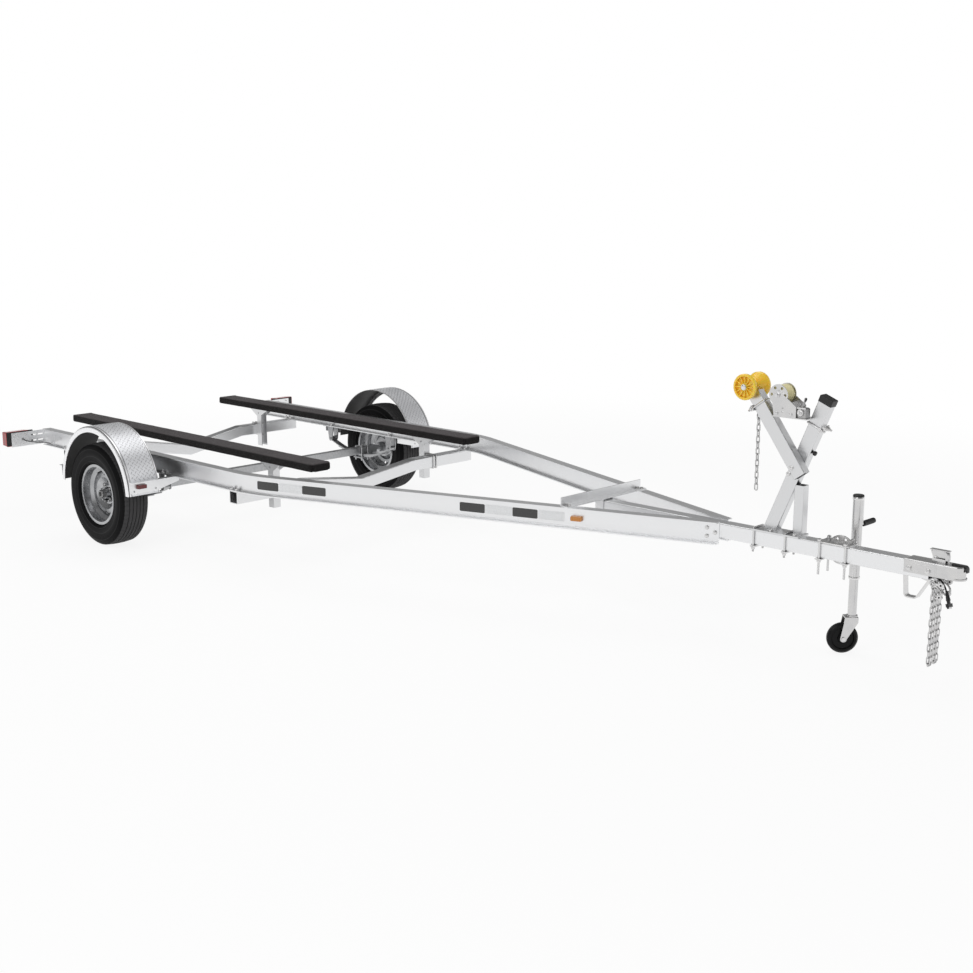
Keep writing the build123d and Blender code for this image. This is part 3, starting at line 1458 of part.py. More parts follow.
# Latch strip that curves over the top of the nose and down its front
latch_out = ball_x + nose_radius + nose_lip + seat
latch_mid = coupler_top + seat + latch_wall / 2
with BuildPart() as coupler_latch:
    with BuildSketch(Plane.XZ.offset(latch_width / 2)):
        with BuildLine():
            FilletPolyline(
                (ball_x - latch_rear, latch_mid), (latch_out + latch_wall / 2, latch_mid),
                (latch_out + latch_wall / 2, latch_mid - latch_drop), radius=latch_drop / 2,
            )
        trace(line_width=latch_wall)
    extrude(amount=-latch_width)
save(coupler_latch, "coupler_latch")

# Flat bar loop under the front of the tongue
loop_rear_x = axle_x + loop_rear
loop_low_z = tongue_bottom - loop_depth
with BuildPart() as tongue_loop:
    with BuildSketch(Plane.XZ.offset(loop_width / 2)):
        with BuildLine():
            FilletPolyline(
                (loop_rear_x, tongue_bottom), (loop_rear_x + loop_slope, loop_low_z),
                (loop_rear_x + loop_slope + loop_foot, loop_low_z),
                (axle_x + loop_front, tongue_bottom), radius=loop_bend_radius,
            )
        trace(line_width=loop_wall)
    extrude(amount=-loop_width)
    split(bisect_by=Plane.XY.offset(tongue_bottom), keep=Keep.BOTTOM)
save(tongue_loop, "tongue_loop")

# ---------------------------------------------------------------- chains
link_length = link_pitch + 2 * link_rod


def link_on(flat):
    """One chain link of square rod in the plane flat, its long axis along the plane's y."""
    with BuildPart(mode=Mode.PRIVATE) as link:
        with BuildSketch(flat.offset(-link_rod / 2)):
            outer = Rectangle(link_width, link_length)
            chamfer(outer.vertices(), length=link_width * link_corner_share)
            with BuildSketch(mode=Mode.PRIVATE) as opening:
                inner = Rectangle(link_width - 2 * link_rod, link_length - 2 * link_rod)
                chamfer(inner.vertices(),
                        length=(link_width - 2 * link_rod) * link_corner_share)
            add(opening.sketch, mode=Mode.SUBTRACT)
        extrude(amount=link_rod)
    return link.part


def link_solid(centre, turned):
    """A link that hangs upright; turned is a quarter turn about Z."""
    return link_on(Plane(origin=centre, x_dir=(0, 1, 0) if turned else (1, 0, 0),
                         z_dir=(1, 0, 0) if turned else (0, -1, 0)))


# Two ears under the front of the tongue hold the pin that both chains hang on.
chain_pin_x = axle_x + chain_pin_ahead
with BuildPart() as chain_ears:
    for side, name in sides:
        with BuildSketch(Plane.XZ.offset(-side * chain_ear_y - chain_ear_wall / 2)):
            with BuildLine():
                nose = CenterArc((chain_pin_x, chain_pin_z), chain_pin_radius + chain_ear_nose,
                                 -60, 120)
                Polyline(nose @ 1, (tongue_front_x, tongue_bottom),
                         (tongue_front_x - chain_ear_root, tongue_bottom), nose @ 0)
            make_face()
        extrude(amount=chain_ear_wall)
    with BuildSketch(Plane.XZ.offset(-chain_pin_half)):
        with Locations((chain_pin_x, chain_pin_z)):
            Circle(chain_pin_radius)
    extrude(amount=2 * chain_pin_half)
save(chain_ears, "chain_ears")

# Each chain hangs doubled: two strands from the pin and a level link between their ends.
strand_half = (link_pitch - link_rod) / 2
link_step = link_pitch + link_slack
top_link_z = chain_pin_z + chain_pin_radius + seat - link_pitch / 2
last_bar_z = top_link_z - (chain_strand_links - 1) * link_step - (link_pitch + link_rod) / 2
level_link_z = last_bar_z - (link_width - 3 * link_rod) / 2
links = []
for side, name in sides:
    for strand in (-1, 1):
        strand_y = side * chain_ear_y + strand * strand_half
        for index in range(chain_strand_links):
            place = (chain_pin_x, strand_y, top_link_z - index * link_step)
            links.append(link_solid(place, index % 2 == 1))
    links.append(link_on(Plane(origin=(chain_pin_x, side * chain_ear_y, level_link_z),
                               x_dir=(0, 0, 1), z_dir=(1, 0, 0))))
with BuildPart() as safety_chains:
    add(links)
save(safety_chains, "safety_chains")

# Bow chain below the roller arm
links = []
for index in range(bow_chain_links):
    place = (bow_eye.X, arm_y, bow_eye.Z - (link_pitch + link_rod) / 2 - index * link_step)
    links.append(link_solid(place, index % 2 == 0))
with BuildPart() as bow_chain:
    add(links)
save(bow_chain, "bow_chain")

# ---------------------------------------------------------------- trailer wire
points = [Vector(axle_x + ahead, y, z) for ahead, y, z in wire_route]
radii = []
for before, here, after in zip(points, points[1:], points[2:]):
    turn = (here - before).get_angle(after - here)
    shorter = min((here - before).length, (after - here).length)
    radii.append(0.45 * shorter / tan(radians(turn / 2)))
print("wire bend radii, mm:", [round(radius, 1) for radius in radii])
with BuildPart() as trailer_wire:
    with BuildLine() as route:
        FilletPolyline(*points, radius=radii)
    with BuildSketch(Plane(origin=route.line @ 0, z_dir=route.line % 0)):
        Circle(wire_radius)
    sweep()
save(trailer_wire, "trailer_wire")

plug_top = route.line @ 1
plug_way = (route.line % 1).normalized()
with BuildPart() as wire_plug:
    with BuildSketch(Plane(origin=plug_top, x_dir=(0, 1, 0), z_dir=plug_way)):
        RectangleRounded(plug_neck_width, plug_neck_depth, plug_corner)
    extrude(amount=plug_neck_length)
    with BuildSketch(Plane(origin=plug_top + plug_way * plug_neck_length, x_dir=(0, 1, 0),
                           z_dir=plug_way)):
        RectangleRounded(plug_width, plug_depth, plug_corner)
    extrude(amount=plug_length)
save(wire_plug, "wire_plug")
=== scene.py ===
from functools import partialmethod
from itertools import product
from math import atan2, cos, dist, hypot, pi, radians, sin, sqrt, tan

import bmesh
import bpy
import numpy as np
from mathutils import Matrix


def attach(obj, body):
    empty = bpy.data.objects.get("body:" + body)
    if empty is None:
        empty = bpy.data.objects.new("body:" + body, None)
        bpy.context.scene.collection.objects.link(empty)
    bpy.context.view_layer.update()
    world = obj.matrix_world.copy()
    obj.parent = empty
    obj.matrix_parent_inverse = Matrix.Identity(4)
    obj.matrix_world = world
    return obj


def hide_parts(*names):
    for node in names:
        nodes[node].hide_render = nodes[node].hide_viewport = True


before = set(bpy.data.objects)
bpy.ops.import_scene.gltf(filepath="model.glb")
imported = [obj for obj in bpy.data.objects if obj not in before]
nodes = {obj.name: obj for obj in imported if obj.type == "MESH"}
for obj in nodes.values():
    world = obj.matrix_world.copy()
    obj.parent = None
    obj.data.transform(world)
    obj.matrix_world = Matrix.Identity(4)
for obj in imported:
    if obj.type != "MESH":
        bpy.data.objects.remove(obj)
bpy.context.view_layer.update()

# ---- places shared with the frame, in metres
AXLE_X, AXLE_Z, HALF_TRACK = -1.95, 0.3315, 1.18
RAIL_BOTTOM, RAIL_TOP, RAIL_WEB = 0.475, 0.59, 0.006
RAIL_Y = 0.963                          # middle of a rail where it runs straight
BEND_X, RAIL_ARC = AXLE_X + 1.245, 0.9
RAIL_TURN = atan2(RAIL_Y - 0.0384, 3.915 - 1.245)
FENDER_X, FENDER_Z, FENDER_R = AXLE_X + 0.025, 0.37, 0.408
SIDES = ((1, "left"), (-1, "right"))
WAYS = (-1, 1)
UP, DOWN, LEFT, RIGHT, FORWARD = (0, 0, 1), (0, 0, -1), (0, 1, 0), (0, -1, 0), (1, 0, 0)


# ---- shapes
def unit(vectors):
    """Each vector scaled to length 1."""
    vectors = np.asarray(vectors, float)
    return vectors / np.linalg.norm(vectors, axis=-1, keepdims=True)


class Shape:
    """Points (n, 3) and four-cornered faces (m, 4); a face may repeat a corner at a pole."""

    def __init__(self, points, faces):
        self.points = np.asarray(points, float).reshape(-1, 3)
        self.faces = np.asarray(faces, int).reshape(-1, 4)

    def moved(self, offset):
        return Shape(self.points + np.asarray(offset, float), self.faces)

    def turned(self, along, across=None):
        """The same shape with its Z laid along one direction and its X near another."""
        along = unit(along)
        if across is None:
            across = UP if abs(along[2]) < 0.9 else FORWARD
        across = unit(across - along * (np.asarray(across, float) @ along))
        return Shape(self.points @ np.array([across, np.cross(along, across), along]), self.faces)


def stack(shapes):
    """One shape made of many."""
    shapes = list(shapes)
    starts = np.cumsum([0] + [len(s.points) for s in shapes[:-1]])
    return Shape(np.concatenate([s.points for s in shapes]),
                 np.concatenate([s.faces + start for s, start in zip(shapes, starts)]))


def grid_shape(points, wrap_rows=False, wrap_columns=False):
    """A grid of points (rows, columns, 3) as quads; a wrapped direction closes on itself."""
    rows, columns = points.shape[:2]
    index = np.arange(rows * columns).reshape(rows, columns)
    if wrap_rows:
        index = np.concatenate([index, index[:1]], 0)
    if wrap_columns:
        index = np.concatenate([index, index[:, :1]], 1)
    faces = np.stack([index[:-1, :-1], index[1:, :-1], index[1:, 1:], index[:-1, 1:]], -1)
    return Shape(points, faces)


def around(steps):
    """Evenly spaced angles of one full turn."""
    return np.arange(steps) * 2 * pi / steps


def about_z(radius, angle, height):
    """Points (r cos a, r sin a, h)."""
    parts = radius * np.cos(angle), radius * np.sin(angle), height
    return np.stack(np.broadcast_arrays(*parts), -1)


def arc(radius, angle):
    return about_z(radius, angle, 0)[..., :2]


def gathered(ring):
    """A ring of points (k, 3) drawn together at its middle."""
    return ring.mean(0) + 0 * ring


def revolved(profile, steps, closed=False):
    """A profile of (height, radius) turned about Z: point = (r cos a, r sin a, h)."""
    height, radius = np.asarray(profile, float).T[..., None]
    return grid_shape(about_z(radius, around(steps), height), closed, True)


def lathe(profile, steps, ring=False):
    """A part turned about Z from a profile in millimetres, filled to its axis or a ring."""
    profile = np.array(profile) / 1000
    if not ring:
        profile = [(profile[0][0], 0), *profile, (profile[-1][0], 0)]
    return revolved(profile, steps, ring)


def rectangle(half_x, half_y):
    return np.array(((-1, -1), (1, -1), (1, 1), (-1, 1))) * (half_x, half_y)


def rounded(corners, radius, steps):
    """An outline's corners cut by arcs: each arc starts and ends radius * tan(turn / 2) away."""
    corners = np.asarray(corners, float)
    back, ahead = (unit(np.roll(corners, way, 0) - corners) for way in (1, -1))
    half = np.arccos(np.clip((back * ahead).sum(1), -1, 1))[:, None] / 2
    centre = corners + unit(back + ahead) * (radius / np.sin(half))
    first, last = (corners + way * (radius / np.tan(half)) - centre for way in (back, ahead))
    share = np.linspace(0, 1, steps + 1)[None, :, None]
    bow = unit(first[:, None] * (1 - share) + last[:, None] * share) * radius
    return (centre[:, None] + bow).reshape(-1, 2)


def swept(section, path, up=UP, closed=False):
    """A section (k, 2) carried along a path (n, 3): point = p + x * side + y * normal."""
    section, path = np.asarray(section, float), np.asarray(path, float)
    if closed:
        tangent = unit(np.roll(path, -1, 0) - np.roll(path, 1, 0))
    else:
        tangent = unit(np.gradient(path, axis=0))
    side = unit(np.cross(tangent, up))
    normal = np.cross(side, tangent)
    points = path[:, None] + section[:, :1] * side[:, None] + section[:, 1:] * normal[:, None]
    body = grid_shape(points, closed, True)
    if closed:
        return body
    return stack([body, grid_shape(np.stack([points[0], gathered(points[0])]), False, True),
                  grid_shape(np.stack([gathered(points[-1]), points[-1]]), False, True)])


def circle(radius, steps):
    return arc(radius, around(steps))


def upright(line):
    """Points (x, z) as points of the XZ plane."""
    line = np.asarray(line, float)
    return np.column_stack([line[:, 0], 0 * line[:, 0], line[:, 1]])


def bar(line, radius, steps, closed=False):
    """Round bar along a line of (x, z) in the XZ plane."""
    return swept(circle(radius, steps), upright(line), LEFT, closed)


def smooth_line(points, steps):
    """Catmull-Rom curve through points in millimetres, whole arrays at once."""
    p = np.array(points) / 1000
    p = np.concatenate([2 * p[:1] - p[1:2], p, 2 * p[-1:] - p[-2:-1]])
    t = (np.arange(steps) / steps)[None, :, None]
    a, b, c, d = (p[i:len(p) - 3 + i, None] for i in range(4))
    curve = 0.5 * (2 * b + (c - a) * t + (2 * a - 5 * b + 4 * c - d) * t ** 2
                   + (3 * b - a - 3 * c + d) * t ** 3)
    return np.concatenate([curve.reshape(-1, p.shape[1]), p[-2:-1]])


def block(first, second, edge=0.001):
    """A box between two corners, with rounded edges along Z and flat, chamfered ends."""
    low, high = np.minimum(first, second), np.maximum(first, second)
    x, y, z = (high - low) / 2
    edge = min(edge, 0.45 * min(x, y, z))
    rings = []
    for height, inset in ((-z, edge), (edge - z, 0), (z - edge, 0), (z, edge)):
        outline = rounded(rectangle(x - inset, y - inset), edge, 3)
        rings.append(np.column_stack([outline, np.full(len(outline), height)]))
    rings = [rings[0] * UP, *rings, rings[-1] * UP]
    return grid_shape(np.stack(rings), False, True).moved((low + high) / 2)


# ---- objects
def in_scene(name, data):
    """A new object that holds the data, linked into the scene."""
    made = bpy.data.objects.new(name, data)
    bpy.context.scene.collection.objects.link(made)
    return made


def build(name, shape, material, body="chassis", smooth=35):
    """A mesh object from a shape, doubles merged, faces outwards, riding on a body."""
    mesh = bpy.data.meshes.new(name)
    mesh.from_pydata(shape.points, [], shape.faces.tolist())
    work = bmesh.new()
    work.from_mesh(mesh)
    bmesh.ops.remove_doubles(work, verts=work.verts, dist=2e-6)
    bmesh.ops.dissolve_degenerate(work, edges=work.edges, dist=1e-7)
    bmesh.ops.recalc_face_normals(work, faces=work.faces)
    work.to_mesh(mesh)
    work.free()
    mesh.polygons.foreach_set("use_smooth", np.ones(len(mesh.polygons), bool))
    mesh.set_sharp_from_angle(angle=radians(smooth))
    mesh.materials.append(material)
    piece = in_scene(name, mesh)
    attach(piece, body)
    return piece


# ---- materials
class Value:
    """A shader socket that takes part in arithmetic; each sum adds its own Math node."""

    def __init__(self, graph, socket):
        self.graph, self.socket = graph, socket

    def joined(self, operation, other):
        return self.graph.maths(operation, self, other)

    def __rsub__(self, other):
        return self.graph.maths("SUBTRACT", other, self)

    __add__ = partialmethod(joined, "ADD")
    __sub__ = partialmethod(joined, "SUBTRACT")
    __mul__ = partialmethod(joined, "MULTIPLY")
    __pow__ = partialmethod(joined, "POWER")
    __abs__ = partialmethod(joined, "ABSOLUTE", 0)


class Graph:
    """A node tree; nodes are added by type, settings, and values or links for their sockets."""

    def __init__(self, tree):
        self.tree = tree

    def node(self, kind, settings=None, out=0, **inputs):
        made = self.tree.nodes.new("ShaderNode" + kind)
        for name, value in (settings or {}).items():
            setattr(made, name, value)
        for name, value in inputs.items():
            self.feed(made.inputs[int(name[1:]) if name[0] == "_" else name], value)
        return Value(self, made.outputs[out])

    def feed(self, socket, value):
        if isinstance(value, Value):
            self.tree.links.new(value.socket, socket)
        else:
            socket.default_value = value

    def maths(self, operation, first, second):
        return self.node("Math", {"operation": operation}, _0=first, _1=second)

    def larger(self, first, second):
        return self.maths("MAXIMUM", first, second)

    def seen_by(self, ray):
        return self.node("LightPath", out=f"Is {ray} Ray")


class Finish(Graph):
    """One material: a Principled shader with plain settings and the nodes that vary it."""

    def __init__(self, name, color, roughness, metallic=0, **settings):
        self.material = bpy.data.materials.new(name)
        self.material.use_nodes = True
        super().__init__(self.material.node_tree)
        self.shader = self.tree.nodes["Principled BSDF"]
        self.set(**{"Base Color": (*color, 1), "Roughness": roughness,
                    "Metallic": metallic, **settings})
        self.place = self.node("TexCoord", out="Object")

    def set(self, **values):
        for name, value in values.items():
            self.feed(self.shader.inputs[name], value)

    def surface(self, color, roughness, normal):
        self.set(**{"Base Color": color, "Roughness": roughness, "Normal": normal})
        return self.material

    def clamp(self, value, low=0, high=1):
        return self.maths("MINIMUM", self.larger(value, low), high)

    def line(self, value, place, sharpness):
        """1 where a value is at a place, falling to 0 beside it."""
        return 1 - self.clamp(abs(value - place) * sharpness)

    def axis(self, name):
        return self.node("SeparateXYZ", out=name, Vector=self.place)

    def mapped(self, scale):
        return self.node("Mapping", Vector=self.place, Scale=scale)

    def noise(self, scale, detail=2, where=None):
        return self.node("TexNoise", Vector=where or self.place, Scale=scale, Detail=detail)

    def cells(self, scale, out="Distance"):
        return self.node("TexVoronoi", out=out, Vector=self.place, Scale=scale)

    def waves(self, axis, scale):
        """Ribs across an axis: |sin(scale * place)|."""
        return abs(self.maths("SINE", self.axis(axis) * scale, 0))

    def mix(self, share, first, second):
        """Colours blended by a share from 0 to 1."""
        colors = [c if isinstance(c, Value) else (*c, 1) for c in (first, second)]
        return self.node("Mix", {"data_type": "RGBA"}, out=2,
                         _0=share, _6=colors[0], _7=colors[1])

    def bump(self, height, depth, strength):
        return self.node("Bump", Height=height, Distance=depth, Strength=strength)


def tinted(color, tone):
    return tuple(min(1, part * tone) for part in color)


def aluminium(name, along, tone):
    """Mill-finish extrusion: streaks along one axis, soft cloudy oxide, handling marks."""
    f = Finish(name, tinted((1, 1, 1.01), tone), 0.34, 1)
    streak = f.noise(9, 3, f.mapped([1.2 if axis == along else 60 for axis in range(3)]))
    cloud = f.noise(3.5, 4)
    marks = f.clamp((f.noise(38, 5) - 0.62) * 6)
    shade = f.clamp(streak * 0.35 + cloud * 0.45 + 0.1)
    return f.surface(
        f.mix(shade, tinted((0.86, 0.87, 0.89), tone), (tone, tone, tone)),
        f.clamp(streak * 0.16 + cloud * 0.16 + marks * 0.12 + 0.16, 0.1, 0.7),
        f.bump(streak, 0.00015, 0.35))


def fender_plate(name):
    """Rolled plate: lighter on its lip and edges, a painted highlight; a dark line of painted
    shade in the crease beside each edge; and painted shade underneath, which is told by the
    radius."""
    inner_y, outer_y = 1.075, 1.295
    f = Finish(name, (0.86, 0.86, 0.87), 0.3, 0.72)
    up, ahead, aside = f.axis("Z") - FENDER_Z, f.axis("X") - FENDER_X, abs(f.axis("Y"))
    field = f.clamp((aside - (inner_y + 0.012)) * 400) \
        * f.clamp((outer_y - 0.024 - aside) * 400)
    # painted shade: a dark line in the crease beside each edge of the plate
    painted_crease_shade = f.larger(f.line(aside, outer_y - 0.021, 150), f.line(aside, inner_y + 0.009, 260))
    cloud = f.noise(6, 3)
    # painted shade: the underside of the plate, inside the arch, is dark
    under = f.clamp((FENDER_R - 0.0013 - (up * up + ahead * ahead) ** 0.5) * 3000) \
        * f.clamp((outer_y - 0.0032 - aside) * 3000)
    # painted highlight: the lip and edges outside the field get the lighter colour
    top = f.mix(f.clamp(cloud * 0.5 + (1 - field) * 0.6), (0.86, 0.87, 0.9), (0.96, 0.96, 0.97))
    edged = f.mix(painted_crease_shade * (cloud * 0.4 + 0.6), top, (0.1, 0.1, 0.11))
    return f.surface(
        f.mix(under, edged, (0.13, 0.13, 0.13)),
        f.clamp(cloud * 0.14 + 0.2 + field * 0.14 + under * 0.2),
        f.bump(cloud, 0.0006, 0.4))


def galvanised(name, tone):
    """Hot-dip zinc: crystals of slightly different greys, mottled gloss, small runs."""
    f = Finish(name, tinted((1, 1, 1.01), tone), 0.4, 1)
    spangle = f.node("SeparateColor", Color=f.cells(90, "Color"))
    cloud = f.noise(14, 4)
    return f.surface(
        f.mix(f.clamp(spangle * 0.55 + cloud * 0.45), tinted((0.72, 0.74, 0.76), tone),
              tinted((1.12, 1.12, 1.13), tone)),
        f.clamp(spangle * 0.12 + cloud * 0.3 + 0.2),
        f.bump(cloud + spangle * 0.3, 0.0004, 0.5))


def zinc_plate(name, tone):
    """Bright zinc on pressed steel: faint cloud, fine scratches, a little wear."""
    f = Finish(name, (tone, tone, tone), 0.2, 1)
    cloud = f.noise(22, 3)
    scratch = f.noise(60, 2, f.mapped((12, 1, 3)))
    return f.surface(
        f.mix(cloud, tinted((0.82, 0.82, 0.84), tone), tinted((1.08, 1.07, 1.05), tone)),
        f.clamp(cloud * 0.2 + scratch * 0.1 + 0.08),
        f.bump(scratch, 0.0001, 0.3))


def wheel_enamel(name):
    """Galvanised silver wheel: satin, mottled where dust and drips have dried."""
    f = Finish(name, (0.5, 0.51, 0.52), 0.3, 0.97)
    cloud, fleck = f.noise(16, 5), f.noise(160)
    return f.surface(
        f.mix(cloud, (0.26, 0.27, 0.28), (0.62, 0.62, 0.63)),
        f.clamp(cloud * 0.22 + fleck * 0.1 + 0.12),
        f.bump(fleck, 0.0002, 0.35))


def tyre_rubber(name):
    """Matt black rubber, greyer where it is worn and dusty: in a band of the side wall and in
    three fine rings, told by the distance from the axle, and on the tread."""
    f = Finish(name, (0.012, 0.012, 0.013), 0.5, **{"Specular IOR Level": 0.05})
    x, z = f.axis("X") - AXLE_X, f.axis("Z") - AXLE_Z
    away = (x * x + z * z) ** 0.5
    cloud, grain = f.noise(11, 4), f.noise(700)
    rings = 0
    for radius in (0.2165, 0.25, 0.293):
        rings = f.larger(f.line(away, radius, 420), rings)
    worn = f.clamp((away - 0.322) * 400)
    shade = f.clamp(cloud * 0.12 + rings * 0.42 + f.line(away, 0.246, 34) * 0.1
                    + worn * 0.85)
    return f.surface(
        f.mix(shade, (0.003, 0.003, 0.0034), (0.08, 0.079, 0.081)),
        f.clamp(cloud * 0.2 + 0.36 + worn * 0.12),
        f.bump(grain, 0.0003, 0.4))


def carpet(name):
    """Short black loop pile: clumps, tufts and a dull sheen; lighter where it faces up and
    darker on its flanks, as painted light and shade.
    """
    f = Finish(name, (0.03, 0.03, 0.03), 0.95,
               **{"Sheen Weight": 0.1, "Sheen Roughness": 0.5, "Specular IOR Level": 0.12})
    clump, patch, tuft = f.noise(120, 3), f.noise(5, 3), f.cells(900)
    shade = f.clamp(clump * 0.5 + patch * 0.5)
    # painted light and shade: faces that look up get the lighter colour, flanks the darker
    facing = f.node("NewGeometry", out="Normal")
    painted_top_light = f.clamp(f.node("SeparateXYZ", out="Z", Vector=facing) * 1.6 - 0.4)
    flank = f.mix(shade, (0.003, 0.0026, 0.0026), (0.014, 0.0115, 0.0115))
    top = f.mix(shade, (0.026, 0.0225, 0.0235), (0.106, 0.094, 0.097))
    return f.surface(f.mix(painted_top_light, flank, top), f.clamp(clump * 0.15 + 0.8),
                     f.bump(tuft + clump * 0.8, 0.0012, 0.8))


def lens(name, color, painted_glint):
    """Moulded lamp lens: ribs inside a clear skin, brighter between the ribs as a painted glint.
    """
    f = Finish(name, color, 0.12, **{"Coat Weight": 0.25, "Coat Roughness": 0.05})
    ribs = f.waves("Z", 900) * f.waves("Y", 900)
    cloud = f.noise(40)
    # painted glint: the lighter colour between the ribs
    return f.surface(f.mix(ribs * 0.7 + cloud * 0.2, tinted(color, 0.45), painted_glint),
                     f.clamp(cloud * 0.1 + 0.06), f.bump(ribs, 0.0004, 0.3))


def plastic(name, color, roughness=0.42, shine=0.5):
    """Moulded plastic with a fine spark-eroded grain and slightly polished patches."""
    f = Finish(name, color, roughness, **{"Specular IOR Level": shine})
    cloud = f.noise(24, 3)
    return f.surface(f.mix(cloud, tinted(color, 0.75), tinted(color, 1.35)),
                     f.clamp(cloud * 0.2 + (roughness - 0.1)), f.bump(f.noise(600), 0.0002, 0.35))


def amber_roller(name):
    """Amber polyurethane: glowing where it is thin, darker in its depth."""
    f = Finish(name, (0.85, 0.42, 0.03), 0.22,
               **{"Subsurface Weight": 0.25, "Subsurface Radius": (0.02, 0.009, 0.002),
                  "Subsurface Scale": 1, "Coat Weight": 0.4, "Coat Roughness": 0.12})
    cloud, depth = f.noise(30, 3), f.noise(9)
    return f.surface(
        f.mix(f.clamp(cloud * 0.5 + depth * 0.5), (0.95, 0.46, 0.01), (1, 0.8, 0.08)),
        f.clamp(cloud * 0.15 + 0.14), f.bump(cloud, 0.0004, 0.3))


def webbing(name):
    """Woven polyester strap in turns on the drum: fine cross ribs and cloudy soiling."""
    f = Finish(name, (0.8, 0.76, 0.6), 0.7, **{"Sheen Weight": 0.2})
    ribs, cloud = f.waves("Y", 2600), f.noise(60, 3)
    return f.surface(
        f.mix(ribs * 0.5 + cloud * 0.4, (0.66, 0.58, 0.26), (0.95, 0.88, 0.52)),
        f.clamp(cloud * 0.2 + 0.6), f.bump(ribs, 0.0005, 0.5))


def reflective(name, color):
    """Retroreflective tape: a honeycomb of cells under a clear film."""
    f = Finish(name, color, 0.3, **{"Coat Weight": 0.6, "Coat Roughness": 0.08})
    comb = f.cells(420)
    return f.surface(f.mix(f.clamp(comb * 1.4), tinted(color, 0.85), tinted(color, 1.2)),
                     f.clamp(comb * 0.2 + 0.2), f.bump(comb, 0.0001, 0.3))


def stage_floor(name):
    """Pale floor: lit like paper near the object and plain white further out, so that a soft
    shadow stays; white share = low + (1 - low) * smooth distance."""
    f = Finish(name, (0.94, 0.94, 0.94), 0.9)
    x, y = f.axis("X"), f.axis("Y")
    far = f.node("MapRange", {"interpolation_type": "SMOOTHSTEP"},
                 Value=(x * x + y * y) ** 0.5, _1=3, _2=8, _3=0.88, _4=1)
    seen = f.larger(f.larger(f.seen_by("Camera"), f.seen_by("Glossy")), f.seen_by("Transmission"))
    mixed = f.node("MixShader", _0=far * seen, _1=Value(f, f.shader.outputs[0]),
                   _2=f.node("Emission", Strength=1))
    f.feed(f.tree.nodes["Material Output"].inputs["Surface"], mixed)
    return f.material


rail_metal = aluminium("rail_aluminium", 0, 0.9)
cross_metal = aluminium("cross_aluminium", 1, 0.84)
post_metal = aluminium("post_aluminium", 2, 0.76)
plate_metal = fender_plate("fender_plate")
# a darker copy of the fender's aluminium: painted shade on the raised lozenges
painted_shade_tread_metal = aluminium("painted_shade_tread_metal", 1, 0.6)
dipped = galvanised("galvanised", 0.5)
plated = zinc_plate("zinc_plate", 0.66)
bolt_zinc = zinc_plate("bolt_zinc", 0.72)
enamel = wheel_enamel("wheel_enamel")
rubber = tyre_rubber("tyre_rubber")
pile = carpet("bunk_carpet")
red_lens = lens("red_lens", (0.42, 0.006, 0.01), (0.62, 0.015, 0.02))
amber_lens = lens("amber_lens", (0.8, 0.22, 0.02), (0.95, 0.42, 0.08))
black_plastic = plastic("black_plastic", (0.008, 0.008, 0.0085))
caster_plastic = plastic("caster_plastic", (0.005, 0.005, 0.0055), 0.36, 0.16)
sheath = plastic("cable_sheath", (0.012, 0.012, 0.012), 0.5)
amber = amber_roller("amber_roller")
strap_cloth = webbing("strap_webbing")
tape_black = reflective("tape_black", (0.02, 0.02, 0.02))
tape_white = reflective("tape_white", (0.8, 0.81, 0.82))
bright = zinc_plate("bright_zinc", 0.8)
chain_zinc = zinc_plate("chain_zinc", 0.62)
chain_dark = zinc_plate("chain_dark", 0.3)
lug_dark = zinc_plate("lug_nut_plate", 0.26)
ratchet_metal = zinc_plate("ratchet_metal", 0.42)
# a darker copy of the red lens for the fender lamps: painted shade
painted_shade_lens = lens("fender_lens", (0.15, 0.009, 0.012), (0.24, 0.02, 0.022))

NODE_FINISH = {
    rail_metal: "rail_left rail_right tongue fender_brackets tail_lamp_brackets",
    cross_metal: "crossmember_front crossmember_rear tongue_cross_bar",
    post_metal: "bunk_posts bunk_brackets stand_post stand_brace roller_arm stand_base",
    plate_metal: "fender_left fender_right",
    dipped: "axle axle_clamps leaf_springs spring_hangers safety_chains bow_chain",
    bolt_zinc: "post_u_bolts stand_u_bolts jack_mount tongue_loop chain_ears stand_clamps",
    bright: "jack_crank",
    plated: "roller_pin winch_frame winch_drum jack_tube jack_leg caster_fork coupler "
            "coupler_lever",
    enamel: "hub_left hub_right wheel_left wheel_right",
    rubber: "tyre_left tyre_right",
    pile: "bunk_left bunk_right",
    red_lens: "tail_lamps",
    painted_shade_lens: "fender_lamps",
    ratchet_metal: "winch_ratchet",
    amber_lens: "marker_lamps",
    black_plastic: "stand_post_cap jack_cap_and_grip wire_plug coupler_latch",
    caster_plastic: "caster_wheel",
    amber: "bow_roller",
    strap_cloth: "winch_strap",
    sheath: "trailer_wire",
}
for finish, names in NODE_FINISH.items():
    for name in names.split():
        materials = nodes[name].data.materials
        materials.clear()
        materials.append(finish)


# ---- fasteners
def placed(shape, rows):
    """Copies of one shape; each row has its place, the way its Z points and perhaps its X."""
    return stack(shape.turned(*row[1:]).moved(row[0]) for row in rows)


def fixed(name, shape, rows, material=bolt_zinc, body="chassis", smooth=35):
    """Copies of one shape as one piece."""
    return build(name, placed(shape, rows), material, body, smooth)


def paired(*places, middle=0):
    """Rows on both sides of y = middle, each pointing outwards."""
    return [((x, middle + way * y, z), (0, way, 0)) for way in WAYS for x, y, z in places]


def prism(rim, rows):
    """A rim (n, 2) repeated at each (height, scale) of the rows: point = (s x, s y, h)."""
    rings = [np.column_stack([rim * scale, np.full(len(rim), z)]) for z, scale in rows]
    return grid_shape(np.stack(rings), False, True)


